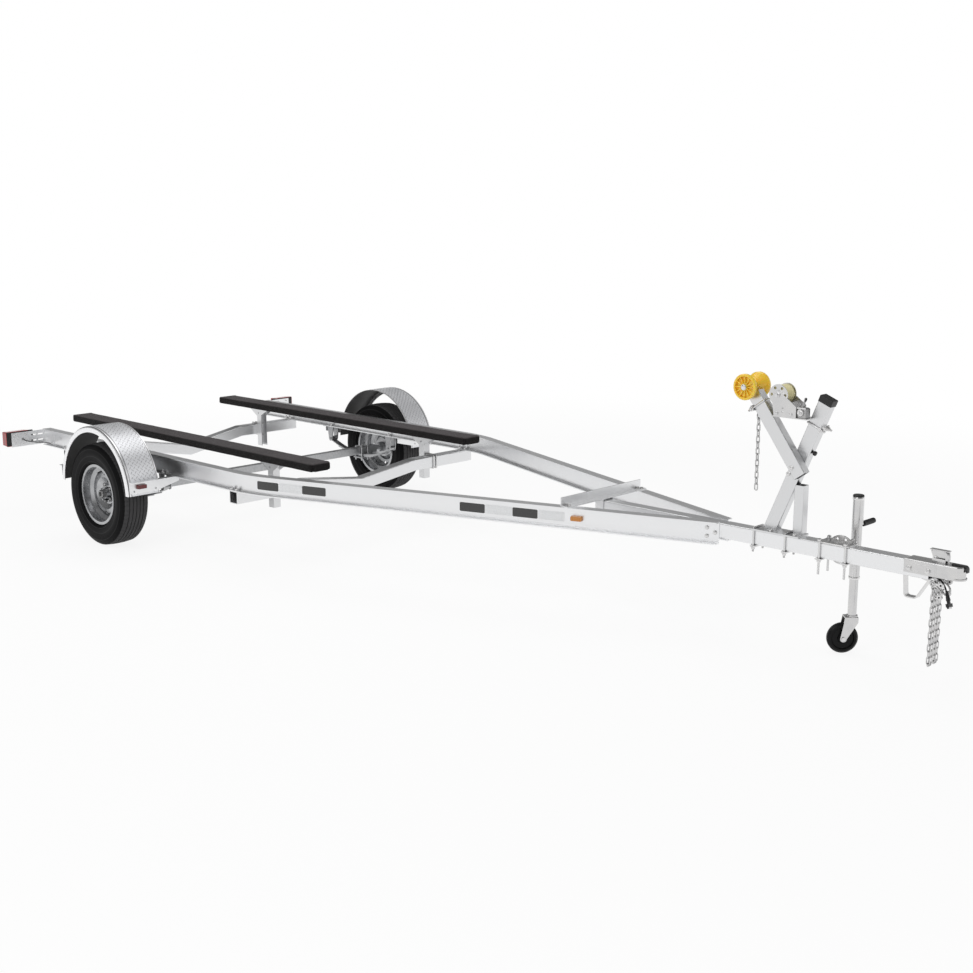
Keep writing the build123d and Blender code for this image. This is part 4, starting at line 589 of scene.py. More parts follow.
def hexagon(across, height, foot=0.002):
    """A hexagonal prism that stands at z = foot, with eased corners and a chamfered top."""
    edge, easing = 0.001, 0.0006
    rim = rounded(circle(1, 6) * across / sqrt(3), easing, 2)
    rows = ((0, 0), (0, 1), (height - edge, 1), (height, 1 - 1.6 * edge / across), (height, 0))
    return prism(rim, rows).moved((0, 0, foot))


def thread(rod, start, length, pitch=0.0016):
    """A threaded end: radius swings between rod / 2 and its root each half pitch along Z."""
    count = max(3, int(2 * length / pitch))
    height = np.linspace(start, start + length, count)
    radius = rod / 2 - 0.06 * rod * (np.arange(count) % 2)
    return revolved([(start, 0), *zip(height, radius), (start + length, 0)], 12)


def washer(rod, spread=2.3, wall=0.002):
    rim = rod * spread / 2
    return revolved([(0, 0), (0, rim), (wall * 0.7, rim), (wall, rim - 0.0005), (wall, 0)], 20)


def fastener(rod, tail):
    """Washer, hex nut and the threaded end of its bolt, standing on z = 0."""
    return stack([washer(rod), hexagon(rod * 1.65, rod * 0.85),
                  thread(rod, 0.002 + rod * 0.8, tail)])


def cap_bolt(rod):
    """Washer and the domed hex head of a bolt."""
    dome = revolved([(0.002 + rod * 0.65, rod * 0.55), (0.002 + rod * 0.72, rod * 0.35),
                     (0.002 + rod * 0.75, 0)], 16)
    return stack([washer(rod), hexagon(rod * 1.65, rod * 0.65), dome])


def round_head(rod):
    """Mushroom head of a carriage bolt: z = h cos(a), r = w sin(a)."""
    angle = np.linspace(0, pi / 2, 7)
    profile = np.column_stack([0.42 * rod * np.cos(angle), 1.1 * rod * np.sin(angle)])
    return revolved([*profile, (0, 0)], 20)


# ---- rails
def rail_line(x):
    """Web line of the left rail, (y, angle): straight, an arc of the bend's radius, straight:
    y = y0 - R (1 - cos t) on the arc, with R sin t the distance past its start."""
    start = BEND_X - RAIL_ARC * tan(RAIL_TURN / 2)
    end = start + RAIL_ARC * sin(RAIL_TURN)
    turn = np.arcsin(np.clip((x - start) / RAIL_ARC, 0, sin(RAIL_TURN)))
    y = RAIL_Y - RAIL_ARC * (1 - np.cos(turn)) - np.maximum(x - end, 0) * tan(RAIL_TURN)
    return y, turn


def rail_point(side, x, out, z):
    """A point beside the rail's web: out is the distance outwards from its middle."""
    y, turn = rail_line(x)
    return np.stack([x + out * np.sin(turn), side * (y + out * np.cos(turn)), z + 0 * y], -1)


def tape_strip(side, start, end):
    """Reflective tape on the web: a thin strip along the rail's line, its corners cut round."""
    half, corner, under, over = 0.025, 0.004, RAIL_WEB / 2 + 0.0001, RAIL_WEB / 2 + 0.0007
    x = AXLE_X + np.linspace(start, end, 26)
    rise = half - corner * np.clip(1 - np.minimum(x - x[0], x[-1] - x) / corner, 0, 1)
    middle = (RAIL_BOTTOM + RAIL_TOP) / 2
    points = np.stack([rail_point(side, x, out, middle) + np.outer(way * rise, UP)
                       for out, way in ((under, -1), (over, -1), (over, 1), (under, 1))])
    ends = [gathered(points[:, column])[:, None] for column in (0, -1)]
    return grid_shape(np.concatenate([ends[0], points, ends[1]], 1), True)


# Starts and ends of the tapes ahead of the axle
for finish, spans in (
        (tape_black, ((1.281, 1.425), (1.58, 1.73), (2.54, 2.683), (2.839, 2.977))),
        (tape_white, ((1.428, 1.577), (2.686, 2.836), (2.98, 3.123)))):
    strips = stack(tape_strip(side, *span) for side, label in SIDES for span in spans)
    build(finish.name, strips, finish)

# Nuts and heads along the rails: crossmembers, spring hangers, the angle and the tongue
CROSS_X = (AXLE_X - 0.863, AXLE_X + 1.098)
NUT_Z = RAIL_BOTTOM + 0.006
nuts, heads = [], []
for side, label in SIDES:
    for cross_x, dx, dy in product(CROSS_X, (-0.024, 0.024), (-0.02, 0.02)):
        x = cross_x + dx
        nuts.append(((x, side * (rail_line(x)[0] + dy), NUT_Z), UP))
    for x, dy in product((AXLE_X - 0.33, AXLE_X + 0.33), (-0.018, 0.018)):
        nuts.append(((x, side * (RAIL_Y + dy), NUT_Z), UP))
    for x, dy in ((1.178, -0.008), (1.203, 0.008)):
        heads.append(((x, side * (rail_line(x)[0] + dy), 0.596), UP))
    for x, z in ((1.905, 0.512), (1.905, 0.555), (1.945, 0.533)):
        turn = rail_line(x)[1]
        heads.append((rail_point(side, x, RAIL_WEB / 2, z), (sin(turn), side * cos(turn), 0)))
fixed("rail_nuts", fastener(0.011, 0.01), nuts)
fixed("rail_bolt_heads", cap_bolt(0.01), heads)


# ---- wheels
def tyre_shape():
    """Tyre about Z: section (place, radius) by angle. Round the tread,
    radius = R - drop * (place / half)^2 - groove depth - slot depth, with slots each pitch."""
    flank = smooth_line((
        (77.5, 185), (78.2, 198.5), (85, 202), (92.5, 208.5), (96.2, 220), (98.5, 236),
        (101.6, 262), (100.2, 286), (94.5, 306), (86.8, 318), (80.5, 324)), 5)
    for ring in (0.2165, 0.293):
        flank[:, 0] += 0.0013 * (np.abs(flank[:, 1] - ring) < 0.003)
    grooves = np.linspace(-0.05, 0.05, 5)[:, None] + (-0.0036, -0.0024, 0.0024, 0.0036)
    across = np.array([-0.0765, -0.07, -0.06, *grooves.flat, 0.06, 0.07, 0.0765])
    deep = np.array([0, 0, 0, *(0, 1, 1, 0) * len(grooves), 0, 0, 0])
    outer, drop, depth = AXLE_Z, 0.0058, 0.006
    tread = np.column_stack([across, outer - drop * (across / 0.08) ** 2 - depth * deep])
    section = np.concatenate([flank * (-1, 1), tread, flank[::-1]])
    pitches = 68
    share = np.array([0, 0.03, 0.14, 0.17, 0.5, 0.8])
    angle = ((np.arange(pitches)[:, None] + share) / pitches * 2 * pi).reshape(-1)
    slot, sipe = (np.tile(cut, pitches) for cut in ([0, 1, 1, 0, 0, 0], [0, 0, 0, 0, 1, 0]))
    place, radius = section.T[..., None]
    shoulder = (np.abs(place) > 0.058) & (radius > 0.318)
    edge = (np.abs(np.abs(place) - 0.0375) < 0.008) & (radius > 0.326)
    radius = radius - 0.0018 * slot * shoulder - 0.0012 * sipe * edge
    return grid_shape(about_z(radius, angle, place), True, True)


def on_wheel(shape, side):
    """A shape made about Z with Z outwards, set at the wheel's middle."""
    return shape.turned((0, side, 0), UP).moved((AXLE_X, side * HALF_TRACK, AXLE_Z))


lug = stack([lathe([(5.5, 7.2), (9, 11.2), (9.5, 11.2)], 20), hexagon(0.0205, 0.0135, 0.0092),
             revolved([(0.0222, 0.009), (0.0248, 0.007), (0.0258, 0.003), (0.026, 0)], 16)])
lugs = stack(lug.moved(at) for at in about_z(0.05715, pi / 2 + around(5), 0.0008))
ON_HUB = (
    ("lug_nuts", lug_dark, lugs),
    ("hub_plug", black_plastic, lathe([(62.2, 15), (64, 15), (65.5, 12.5)], 28)),
    ("hub_cap", lug_dark, lathe([
        (33, 28.5), (35, 29.2), (36.6, 29), (37.2, 27.6), (54, 27.3), (58.5, 26.2),
        (61.4, 23.6), (62.6, 20), (63, 11), (62.2, 10)], 40)),
    ("valve", sheath, lathe([
        (0, 5.5), (10, 5), (22, 4), (23, 4.5), (36, 4.5), (38, 3.6)], 14).turned(
            (-0.25, 0, 1)).moved((0.148, 0, 0.036))),
)
for side, label in SIDES:
    body = f"wheel_{label}_body"
    tyre = build(f"tyre_{label}_tread", on_wheel(tyre_shape(), side), rubber, body, 28)
    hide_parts(f"tyre_{label}")
    for name, finish, shape in ON_HUB:
        build(f"{name}_{label}", on_wheel(shape, side), finish, body)


# ---- fenders
def on_arch(angle, radius, y):
    """Points on the fender's arc: (x, z) = centre + radius * (cos a, sin a)."""
    x, z = FENDER_X + radius * np.cos(angle), FENDER_Z + radius * np.sin(angle)
    return np.stack([x, y + 0 * x, z], -1)


def arch_row(a, y):
    """A row that stands on the fender and points outwards."""
    return on_arch(a, FENDER_R, y), (cos(a), 0, sin(a))


def lozenge():
    """One raised lozenge of tread plate: x = a s, y = w (1 - s^2) cos t and
    z = h sqrt(1 - s^2) sin t, cut off a little below the plate."""
    half_length, half_width, height = 0.0125, 0.003, 0.0013
    s = np.array([-1, -0.78, -0.3, 0.3, 0.78, 1])[:, None]
    t = np.arange(8) * pi / 4
    y = half_width * (1 - s * s) * np.cos(t)
    z = height * np.sqrt(1 - s * s) * np.maximum(np.sin(t), -0.3)
    return grid_shape(np.stack([half_length * s + 0 * t, y, z], -1), False, True)


def tread_rows(side):
    """Places of the lozenges: two lattices half a pitch apart, leaning opposite ways."""
    pitch, rows = 0.031, []
    step = pitch / FENDER_R
    for shift, lean in ((0, 1), (0.5, -1)):
        angles = np.arange(radians(5) + shift * step, radians(175), step)
        for a, y in product(angles, np.arange(1.0965 + shift * pitch, 1.266, pitch)):
            rows.append((*arch_row(a, side * y), (-sin(a), lean, cos(a))))
    return rows


for side, label in SIDES:
    fixed(f"fender_tread_{label}", lozenge(), tread_rows(side), painted_shade_tread_metal)
    rim = on_arch(np.radians(np.linspace(3, 177, 97)), 0.3735, side * 1.2918)
    build(f"fender_hem_{label}", swept(circle(0.0026, 10), rim, LEFT), bright)
    rows = [arch_row(a, side * y)
            for a, y in product(np.radians((9, 171)), (1.115, 1.185, 1.255))]
    fixed(f"fender_bolts_{label}", round_head(0.0085), rows)


# ---- bunks
BUNK_X, BUNK_LENGTH = AXLE_X - 1.255, 2.749
BUNK_Y, BUNK_BOTTOM, BUNK_TOP = 0.638, 0.6012, 0.6512
BUNK_MIDDLE = (BUNK_BOTTOM + BUNK_TOP) / 2


def bunk_shape(side):
    """Carpet stretched round a board: a rounded rectangle along X, drawn in at its ends by
    e(x) = d * (1 - s)^2 and waved by summed sines of place and turn."""
    half_y, half_z, corner = 0.0738, 0.0246, 0.0088
    corners = rounded(rectangle(half_y, half_z), corner, 6)
    outline = []
    for point, following in zip(corners, np.roll(corners, -1, 0)):
        count = max(1, int(dist(point, following) / 0.008))
        share = (np.arange(count) / count)[:, None]
        outline.append(point * (1 - share) + following * share)
    outline = np.concatenate(outline)
    near = np.array([0, 0.0012, 0.003, 0.006, 0.01, 0.016, 0.024])
    x = np.concatenate([near, np.linspace(0.034, 2.715, 150), BUNK_LENGTH - near[::-1]])[:, None]
    pull = 1 - 0.16 * np.clip(1 - np.minimum(x, BUNK_LENGTH - x) / 0.012, 0, 1) ** 2
    turn = around(len(outline))
    wave = 0.00035 * np.sin(x * 31 + 2 * turn) + 0.0002 * np.sin(x * 151 + 5 * turn) \
        + 0.0003 * np.sin(x * 73 + side * 1.3 + 3 * turn)
    scale = 1 + (wave - 0.0004) / np.linalg.norm(outline, axis=1)
    y = side * BUNK_Y + outline[:, 0] * scale * (1 - (1 - pull) * 0.25)
    z = BUNK_MIDDLE + outline[:, 1] * scale * pull
    points = np.stack([BUNK_X + x + 0 * y, y, z], -1)
    return grid_shape(np.stack([gathered(points[0]), *points, gathered(points[-1])]), False, True)


def fold_flap(side, end, way):
    """Carpet folded over a board's end: a sheet that follows (x, z) down the end face,
    wider at the top, with a soft fold at each flank."""
    down = np.linspace(0, 1, 12)[:, None]
    x = np.interp(down, (0, 0.16, 0.26, 1), (-0.03, -0.004, 0.0018, 0.0022))
    z = np.interp(down, (0, 0.16, 0.26, 1), (0.025, 0.0246, 0.019, -0.0235))
    half = np.interp(down, (0, 0.26, 1), (0.0705, 0.0655, 0.05))
    across = np.linspace(-1, 1, 15)
    lift = (0.0022 + 0.0016 * np.exp(-((np.abs(across) - 0.92) / 0.07) ** 2)) \
        * np.sin(np.clip(down, 0.04, 1) * pi / 2) ** 0.5
    outer = np.stack([end + way * (x + lift * (down > 0.2)), side * BUNK_Y + half * across,
                      BUNK_MIDDLE + z + lift * 0.35 * (down <= 0.2)], -1)
    inner = outer - (way * 0.0016, 0, 0.0004)
    rims = [np.concatenate([sheet[0], sheet[1:, -1], sheet[-1, -2::-1], sheet[-2:0:-1, 0]])
            for sheet in (outer, inner)]
    return stack([grid_shape(outer), grid_shape(inner[:, ::-1]),
                  grid_shape(np.stack(rims), False, True)])


staple = bar(smooth_line(((-5, 0), (-4.5, 0.9), (4.5, 0.9), (5, 0)), 3), 0.0006, 5)
for side, label in SIDES:
    board = build(f"bunk_{label}_carpet", bunk_shape(side), pile, "chassis", 50)
    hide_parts(f"bunk_{label}")
    flaps = [fold_flap(side, BUNK_X, -1), fold_flap(side, BUNK_X + BUNK_LENGTH, 1)]
    build(f"bunk_{label}_folds", stack(flaps), pile, "chassis", 60)
    places = np.arange(BUNK_X + 0.05, BUNK_X + BUNK_LENGTH, 0.11)
    fixed(f"bunk_{label}_staples", staple,
          [((x, side * BUNK_Y + dy, BUNK_BOTTOM + 0.0006), DOWN, (1, 0.4, 0))
           for x, dy in product(places, (-0.045, 0.045))])


# ---- lamps
for side, label in SIDES:
    base = block((-3.1705, side * 1.051, 0.4875), (-3.1606, side * 1.25, 0.5885), 0.004)
    build(f"tail_lamp_base_{label}", base, black_plastic)
    lead = smooth_line([(x, side * y, z) for x, y, z in (
        (-3156, 1130, 535), (-3135, 1120, 520), (-3110, 1060, 505), (-3095, 1000, 498),
        (-3060, 975, 492))], 8)
    build(f"tail_lamp_lead_{label}", swept(circle(0.0032, 10), lead), sheath)
    fixed(f"tail_lamp_nuts_{label}", fastener(0.006, 0.006),
          [((-3.1575, side * y, z), FORWARD) for y, z in product((1.11, 1.19), (0.515, 0.562))])


# ---- chains
PIN_X, PIN_Z = AXLE_X + 5.062, 0.496
STEP = 0.0294                           # from one link to the next
CHAIN_TOP, BOW_TOP = PIN_Z - 0.0102, 1.1212
BOW_EYE = (2.1604, -0.0252)


def chain_link():
    """A welded link in the XZ plane: a stadium of straight sides and half-circle ends,
    its long axis along Z."""
    pitch, rod, width = 0.029, 0.0065, 0.022
    radius, half = (width - rod) / 2, (pitch + 2 * rod - width) / 2
    top = arc(radius, np.linspace(0, pi, 9)) + (0, half)
    return bar(np.concatenate([top, -top]), rod / 2, 8, True)


rows = []
for side, label in SIDES:
    middle = side * 0.0262
    rows += [((PIN_X, middle + way * 0.01125, CHAIN_TOP - index * STEP), UP,
              LEFT if index % 2 else FORWARD) for way, index in product(WAYS, range(13))]
    rows.append(((PIN_X, middle, CHAIN_TOP - 12 * STEP - 0.019), LEFT, UP))
chains = fixed("safety_chain_links", chain_link(), rows, chain_zinc, smooth=40)
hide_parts("safety_chains")
rows = [((*BOW_EYE, BOW_TOP - index * STEP), UP, FORWARD if index % 2 else LEFT)
        for index in range(12)]
bow_links = fixed("bow_chain_links", chain_link(), rows, chain_zinc, smooth=40)
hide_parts("bow_chain")


def hook_shape():
    """A slip hook of round bar: an eye about the pin, a shank that leans forward and an open
    bow; its plane is XZ and the eye's middle is the origin."""
    ring = arc(0.011, np.radians(np.linspace(270, -60, 20)))
    bow = smooth_line((
        (16, -10), (26, -16), (37, -26), (43, -42), (40, -58), (28, -67), (15, -62),
        (9, -50), (12, -41)), 5)
    return bar(np.concatenate([ring, bow]), 0.0095 / 2, 10)


HOOK_Y = 0.0435
hooks = stack(hook_shape().moved((PIN_X, way * HOOK_Y, PIN_Z)) for way in WAYS)
build("chain_hooks", hooks, chain_zinc, "chassis", 40)

# Keepers of the hooks: an arm from the pin to a riveted eye, and a second eye on the bow
eye = lathe([(-4.5, 5), (-4.5, 11.8), (-3.5, 13), (3.5, 13), (4.5, 11.8), (4.5, 5)], 28, True)
rows = paired((PIN_X + 0.0385, HOOK_Y, 0.4945), (PIN_X + 0.035, HOOK_Y, 0.4385))
arms = [block((PIN_X, way * HOOK_Y - 0.0025, 0.4895),
              (PIN_X + 0.029, way * HOOK_Y + 0.0025, 0.4995)) for way in WAYS]
build("hook_keepers", stack([placed(eye, rows), *arms]), bolt_zinc)
fixed("hook_rivets", lathe([(-3, 5), (3, 5)], 16), rows, black_plastic)


# ---- stand, roller and winch
def leaning(degrees):
    """The way up a tube that leans forward in the XZ plane: (sin a, 0, cos a)."""
    return np.array((sin(radians(degrees)), 0, cos(radians(degrees))))


STAND_Y = 0.02515
ARM_TOP, ARM_UP = np.array((2.138, -STAND_Y, 1.259)), leaning(-36.3)
POST_FOOT, POST_UP = np.array((2.23, STAND_Y, 0.5912)), leaning(22.4)
ROLLER = ARM_TOP + ARM_UP * 0.04
SHAFT = np.array((2.281, -0.014, 1.266))


def on_post(z):
    """The point of the post's middle line at a height."""
    return POST_FOOT + POST_UP * ((z - POST_FOOT[2]) / POST_UP[2])


post_front = np.cross(LEFT, POST_UP)
crossing = [on_post(0.905) + POST_UP * step for step in (-0.014, 0.02)]
clamps = ((on_post(1.13), post_front), (ARM_TOP - ARM_UP * 0.06, np.cross(ARM_UP, LEFT)))
rows = [(middle + away * 0.0413 + (0, y, 0), away)
        for middle, away in clamps for y in (-0.03075, 0.03075)]
rows += [((x, y, 0.499), DOWN) for x, y in product((2.169, 2.346), (-0.0435, 0.0435))]
rows += [(place + (0, 0.0252, 0), LEFT) for place in crossing]
fixed("stand_nuts", fastener(0.0112, 0.013), rows)
rows = [(place - (0, 0.0753, 0), RIGHT) for place in crossing]
rows += [((x, -0.036, 0.5913), UP) for x in (2.262, 2.395)]
fixed("stand_bolt_heads", cap_bolt(0.011), rows)
hub = stack([washer(0.016, 1.9, 0.0018), hexagon(0.022, 0.0085, 0.0016),
             thread(0.013, 0.009, 0.0045)])
fixed("winch_shaft_nuts", hub, paired((SHAFT[0], 0.0461, SHAFT[2]), middle=SHAFT[1]),
      bolt_zinc, "winch")


def wound_strap():
    """Strap on the drum: r rises from core to outer in turns of one thickness; its edges step
    in and out by turn, y = half + a * sin(7 i) at turn i."""
    turns, half = 13, 0.0308
    radius = np.linspace(0.0246, 0.0458, turns + 1)
    wander = half + 0.0009 * np.sin(7 * np.arange(turns))
    edge = []
    for inner, outer, y in zip(radius, radius[1:], wander):
        edge += [(y, inner + 0.0002), (y + 0.0003, inner + 0.0005),
                 (y + 0.0003, outer - 0.0004), (y, outer - 0.0001)]
    edge = np.array(edge)
    return revolved(np.concatenate([edge, edge[::-1] * (-1, 1)]), 56, True)


strap_roll = build("winch_strap_turns", wound_strap().turned(LEFT).moved(SHAFT), strap_cloth,
                   "winch", 30)
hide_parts("winch_strap")


# Ratchet: a toothed wheel beside the block, its shaft nut, and the pawl lever's knob
def toothed(radius, tooth, count, width):
    """Ratchet wheel about Z: radius = r + tooth * fraction(count * angle / turn)."""
    saw = np.minimum((np.arange(count * 6) % 6) / 4, 1)
    rim = circle(1, count * 6) * (radius + tooth * saw)[:, None]
    return prism(rim, ((0, 0), (0, 0.94), (0.0008, 1), (width - 0.0008, 1), (width, 0.94),
                       (width, 0)))


gear = stack([toothed(0.015, 0.0032, 12, 0.0062), hexagon(0.017, 0.0075, 0.0058),
              thread(0.009, 0.012, 0.005)])
fixed("winch_ratchet_wheel", gear, [((2.403, -0.0492, 1.192), RIGHT)])
knob = lathe([(-10, 5.2), (-6, 6.6), (2, 7), (5.5, 6), (7, 3.2), (7.2, 0)], 20)
fixed("winch_pawl_knob", knob, [((2.415, -0.029, 1.255), (0.25, 0, 0.97))], black_plastic)
fixed("winch_plate_bolts", cap_bolt(0.008),
      [((SHAFT[0] + x, -0.0603, 1.18), RIGHT) for x in (0.075, -0.002)])

# Bow roller: a bright nut and washer at each end of its pin
cap = stack([washer(0.016, 1.8, 0.0015),
             revolved([(0.0012, 0.012), (0.004, 0.0112), (0.0052, 0.008), (0.0056, 0)], 24)])
fixed("roller_pin_caps", cap, paired((ROLLER[0], 0.07435, ROLLER[2]), middle=-STAND_Y), bright)

# Black stop screwed into the front of the post
stop = lathe([(0, 6.5), (5, 6.5), (5.5, 10.5), (15, 12), (18.5, 10.5), (20, 7), (20.2, 0)], 28)
fixed("post_stop", stop, [(on_post(1.011) + post_front * 0.0353, post_front)], black_plastic)

# Snap hook at the top of the bow chain
snap = smooth_line(((0, 0), (7, 6), (10, 16), (7, 26), (0, 31), (-7, 26), (-9, 16), (-4, 7)), 4)
build("bow_chain_hook", bar(snap, 0.0032, 10).moved((*BOW_EYE, BOW_TOP + 0.012)), chain_dark)


# ---- jack and caster
JACK = (2.604, 0.18)
RODS = list(product((JACK[0] - 0.0685, JACK[0] + 0.0685), (-0.0439, 0.0439)))
MOUNT_PLACE = (JACK[0], 0.0381, 0.545)


def pierced_disc(radius, ring, count, hole, wall):
    """Disc about Z with a ring of holes. Round each hole lies a patch
    r = ring + (hole + s (reach - hole)) cos t, arc = (hole + s (reach - hole)) sin t,
    whose reach ends on a rectangle; a plain disc fills the middle and a ring the rim."""
    half_in, half_along, gap = 0.01, pi * ring / count * 0.9995, 5e-6
    quarter = np.append(np.linspace(0, pi / 2, 7)[:-1], atan2(half_along, half_in))
    turn = np.concatenate([quarter, pi - quarter, pi + quarter, -quarter])
    turn = np.unique(np.round(turn % (2 * pi), 9))
    reach = 1 / np.maximum(np.abs(np.cos(turn)) / half_in, np.abs(np.sin(turn)) / half_along)
    away = np.stack([hole + 0 * reach, reach, reach, hole + 0 * reach])
    height = np.array([0, 0, wall, wall])[:, None]
    out, along = ring + away * np.cos(turn), away * np.sin(turn) / ring
    patches = [grid_shape(about_z(out, along + middle, height), True, True)
               for middle in around(count) + pi / count]
    inside, outside = ring - half_in - gap, ring + half_in + gap
    middle = revolved([(0, 0), (0, inside), (wall, inside), (wall, 0)], 64)
    rim = revolved([(0, outside), (0, radius - 0.001), (0.001, radius), (wall - 0.001, radius),
                    (wall, radius - 0.001), (wall, outside)], 64, True)
    return stack([*patches, middle, rim])


def jack_mount():
    """Swivel plate with its boss and pin, the plate over the tongue, clamp rods and straps."""
    plate = pierced_disc(0.072, 0.056, 8, 0.0065, 0.006)
    boss = lathe([(6, 33.5), (7.5, 32), (40, 32), (40, 12), (111, 12), (111.6, 11.4)], 48)
    rod = lathe([(429, 4.7), (430, 5.5), (600.2, 5.5), (601.2, 4.5)], 20)
    return stack([
        plate.turned(LEFT, FORWARD).moved(MOUNT_PLACE), boss.turned(LEFT).moved(MOUNT_PLACE),
        block((JACK[0] - 0.0835, -0.0441, 0.5832), (JACK[0] + 0.0835, 0.0441, 0.5892)),
        *(block((x - 0.017, -0.0561, 0.501), (x + 0.017, 0.0561, 0.507)) for x, y in RODS[::2]),
        *(rod.moved((x, y, 0)) for x, y in RODS)])


mount = build("jack_mount_plates", jack_mount(), bolt_zinc)
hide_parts("jack_mount")
for name, shape, z, way in (
        ("jack_clamp_nuts", fastener(0.0122, 0.004), 0.5892, UP),
        ("jack_lower_nuts", stack([washer(0.0122), hexagon(0.0195, 0.01)]), 0.501, DOWN),
        ("jack_rod_threads", thread(0.0117, 0, 0.052, 0.0024), 0.4292, UP)):
    fixed(name, shape, [((x, y, z), way) for x, y in RODS])
ridges = [(254.5 + index * 9.2 + shift, radius) for index in range(9) for shift, radius in (
    (-3, 12.8), (-1.4, 14.1), (1.4, 14.1), (3, 12.8))]
grip = lathe([(240, 12.6), (240.3, 13.6), *ridges, (340, 13.8), (341, 12), (341, 6.4),
              (240, 6.4)], 28, True)
build("crank_grip", grip.turned(LEFT).moved((JACK[0], 0, 0.639)), black_plastic, "jack")
collar = lathe([(0, 25.2), (0, 27.6), (10, 27.6), (12, 26.2), (12, 25.2)], 40, True)
collars = stack(collar.moved((*JACK, z)) for z in (0.3765, 0.77))
build("jack_tube_collars", collars, bright, "jack")
fixed("crank_boss", lathe([(0, 10.5), (10, 10.5), (12, 9)], 20),
      [((JACK[0], JACK[1] + 0.0245, 0.764), LEFT)], bright, "jack")
pull = stack([lathe([(0, 9), (12, 9), (13, 8), (30, 8), (31, 7)], 20),
              bar(circle(0.014, 24) + (0, 0.042), 0.0022, 8, True)])
build("swivel_pull_pin", pull.turned(LEFT).moved((JACK[0] + 0.0517, 0.0442, 0.5664)), bright)

HEADING = radians(223.4)
CASTER = about_z(0.042, HEADING, 0) + (*JACK, 0.076)
ACROSS = about_z(1, HEADING + pi / 2, 0)
end_nut = stack([washer(0.012, 1.9, 0.0015), hexagon(0.0185, 0.007, 0.0013)])
fixed("caster_nuts", end_nut, [(CASTER + ACROSS * way * 0.0296, ACROSS * way) for way in WAYS],
      bolt_zinc, "caster")


# ---- coupler
fixed("coupler_bolts", cap_bolt(0.0122),
      paired((2.992, 0.0429, 0.5465), (3.083, 0.0429, 0.5465)))
beads = [block((x - 0.0016, way * 0.0424, 0.529), (x + 0.0016, way * 0.0436, 0.581), 0.0006)
         for way, x in product(WAYS, (3.115, 3.1225))]
beads += [block((3, way * 0.0424, z), (3.105, way * 0.0435, z + 0.003), 0.0006)
          for way, z in product(WAYS, (0.5335, 0.5685))]
build("coupler_beads", stack(beads), plated)


def lever_cover():
    """The latch lever's folded sheet: a channel section carried along a line that rises,
    runs level and turns down at its front."""
    line = smooth_line((
        (3078.5, 639), (3095, 643), (3120, 644.5), (3144, 642), (3156, 634), (3160, 618),
        (3160, 602)), 6)
    flank = np.array([(0.0012, 0.0105), (0.0006, 0.0123), (-0.001, 0.0135), (-0.013, 0.0135),
                      (-0.013, 0.0113), (-0.0022, 0.0113)])
    return swept(np.concatenate([flank, flank[::-1] * (1, -1)]), upright(line), LEFT)


build("coupler_lever_cover", lever_cover(), plated)
dome = revolved([(0.002, 0.0065), (0.0045, 0.006), (0.006, 0.0035), (0.0062, 0)], 18)
fixed("coupler_lever_pivot", stack([washer(0.01, 1.9), dome]), paired((3.098, 0.0027, 0.607)))
ears = stack(block((3.086, way * 0.012, 0.586), (3.15, way * 0.015, 0.606), 0.0014)
             for way in WAYS)
build("coupler_ears", ears, plated)


# ---- trailer wire
ROUTE = ((3.06, 0.012, 0.5161), (3.104, 0.006, 0.5163), (3.14, -0.004, 0.5),
         (3.164, -0.014, 0.467), (3.178, -0.02, 0.427))


def wire_curve():
    """The wire hangs from the tongue's open end to its plug on one smooth spline."""
    curve = bpy.data.curves.new("trailer_wire_line", "CURVE")
    curve.dimensions = "3D"
    curve.bevel_depth, curve.bevel_resolution, curve.resolution_u = 0.004, 4, 12
    curve.use_fill_caps = True
    spline = curve.splines.new("NURBS")
    spline.points.add(len(ROUTE) - 1)
    for point, place in zip(spline.points, ROUTE):
        point.co = (*place, 1)
    spline.order_u = 3
    spline.use_endpoint_u = True
    curve.materials.append(sheath)
    return in_scene("trailer_wire_cable", curve)


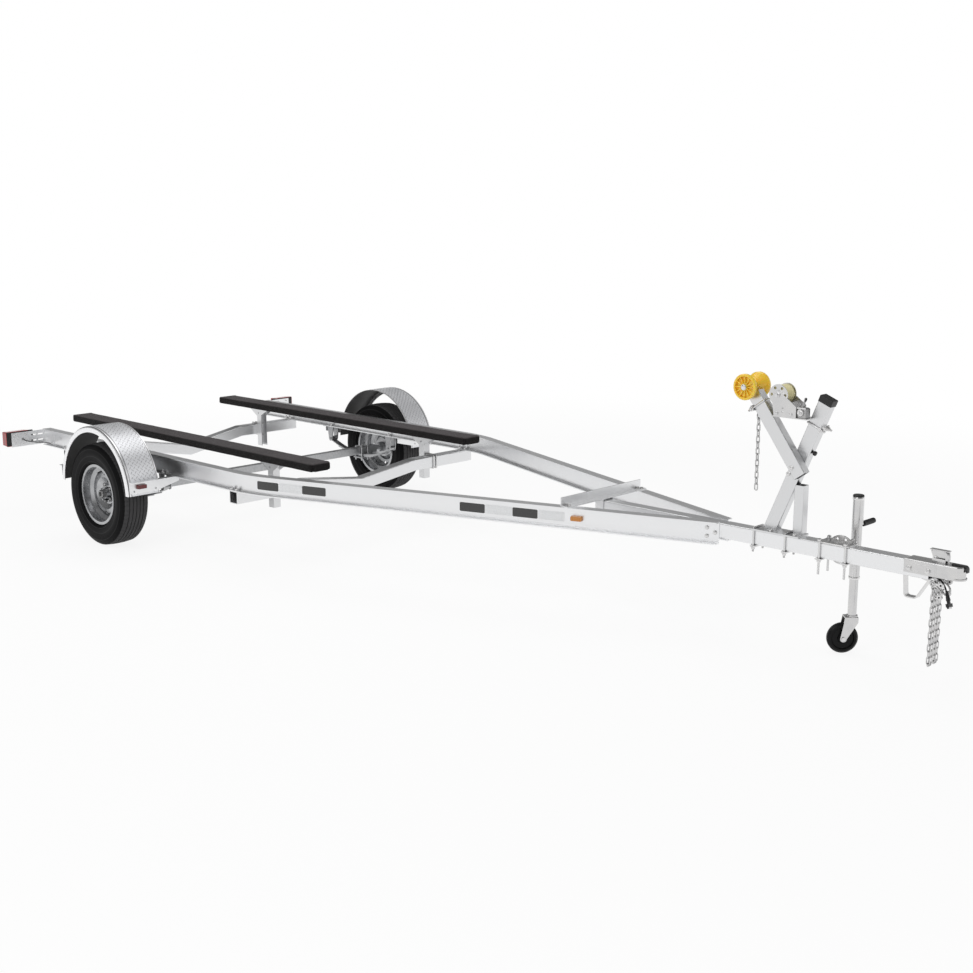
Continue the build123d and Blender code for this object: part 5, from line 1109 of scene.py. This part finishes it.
wire = wire_curve()
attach(wire, "chassis")
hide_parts("trailer_wire")
end = np.array(ROUTE[-1])
way = unit(end - ROUTE[-2])
ribs = [(index * 4.6 - 41.5 + along, index * 0.5 + 6.2 + grow) for index in range(9)
        for along, grow in ((0, 0), (2.6, 0.4), (3, -0.9), (4.4, -0.9))]
rubber_boot = lathe([(-43, 4.2), (-43, 5.8), *ribs, (0, 10.4), (1.6, 10.4), (1.6, 4.2)], 24, True)
boot = fixed("wire_boot", rubber_boot, [(end, way, LEFT)], sheath)
face, beside = end + way * 0.03, unit(LEFT - way * way[1])
pin = lathe([(-1, 2.3), (7.5, 2.3), (8.5, 1.6)], 12)
sleeve = lathe([(-1, 4.2), (7, 4), (7, 2.2), (4, 2.2)], 16)
pins = fixed("plug_pins", pin, [(face + beside * s, way) for s in (-0.0053, 0.0053, 0.016)],
             bright)
cover = fixed("plug_sleeve", sleeve, [(face - beside * 0.016, way)], sheath)


# ---- studio
AMBIENT, CEILING, REACH = 0.45, 0.22, 60.0


def studio():
    """Pale floor, white surround, a broad soft key and fill, and the camera."""
    scene = bpy.context.scene
    mesh = bpy.data.meshes.new("floor")
    mesh.from_pydata([(x, y, 0) for x, y in rectangle(REACH, REACH)], [], [(0, 1, 2, 3)])
    mesh.materials.append(stage_floor("floor_white"))
    floor = in_scene("floor", mesh)

    scene.world = bpy.data.worlds.new("studio")
    scene.world.use_nodes = True
    g = Graph(scene.world.node_tree)
    height = g.node("SeparateXYZ", out="Z", Vector=g.node("TexCoord", out="Generated"))
    # Mirrors see a white horizon and a greyer ceiling; soft light is even and a little lower.
    mirrored = g.node("MapRange", Value=height, _1=0.02, _2=0.22, _3=1, _4=CEILING)
    shiny = g.seen_by("Glossy") + g.seen_by("Transmission")
    for_shiny = g.node("MapRange", Value=shiny, _3=AMBIENT, _4=mirrored)
    background = g.tree.nodes["Background"].inputs
    g.feed(background["Color"], (1, 1, 1, 1))
    level = g.node("MapRange", Value=g.seen_by("Camera"), _3=for_shiny, _4=1)
    g.feed(background["Strength"], level)

    for name, place, power in (("key", (1, -7.5, 6.5), 230), ("fill", (7, 5, 5), 90),
                               ("top", (-1.5, 0.5, 7.5), 170)):
        lamp = bpy.data.lights.new(name, "AREA")
        lamp.size, lamp.energy = 6, power
        x, y, z = np.array((0, 0, 0.3)) - place
        holder = in_scene(name, lamp)
        holder.location = place
        holder.rotation_euler = (pi / 2 + atan2(z, hypot(x, y)), 0, atan2(y, x) - pi / 2)

    camera = bpy.data.cameras.new("camera")
    camera.lens, camera.sensor_width, camera.clip_end = 50.12, 36, 200
    scene.camera = in_scene("camera", camera)
    scene.camera.location = (5.735, -5.622, 2.166)
    scene.camera.rotation_euler = (radians(78.13), 0, radians(44.06))
    scene.view_settings.view_transform = "Standard"


studio()
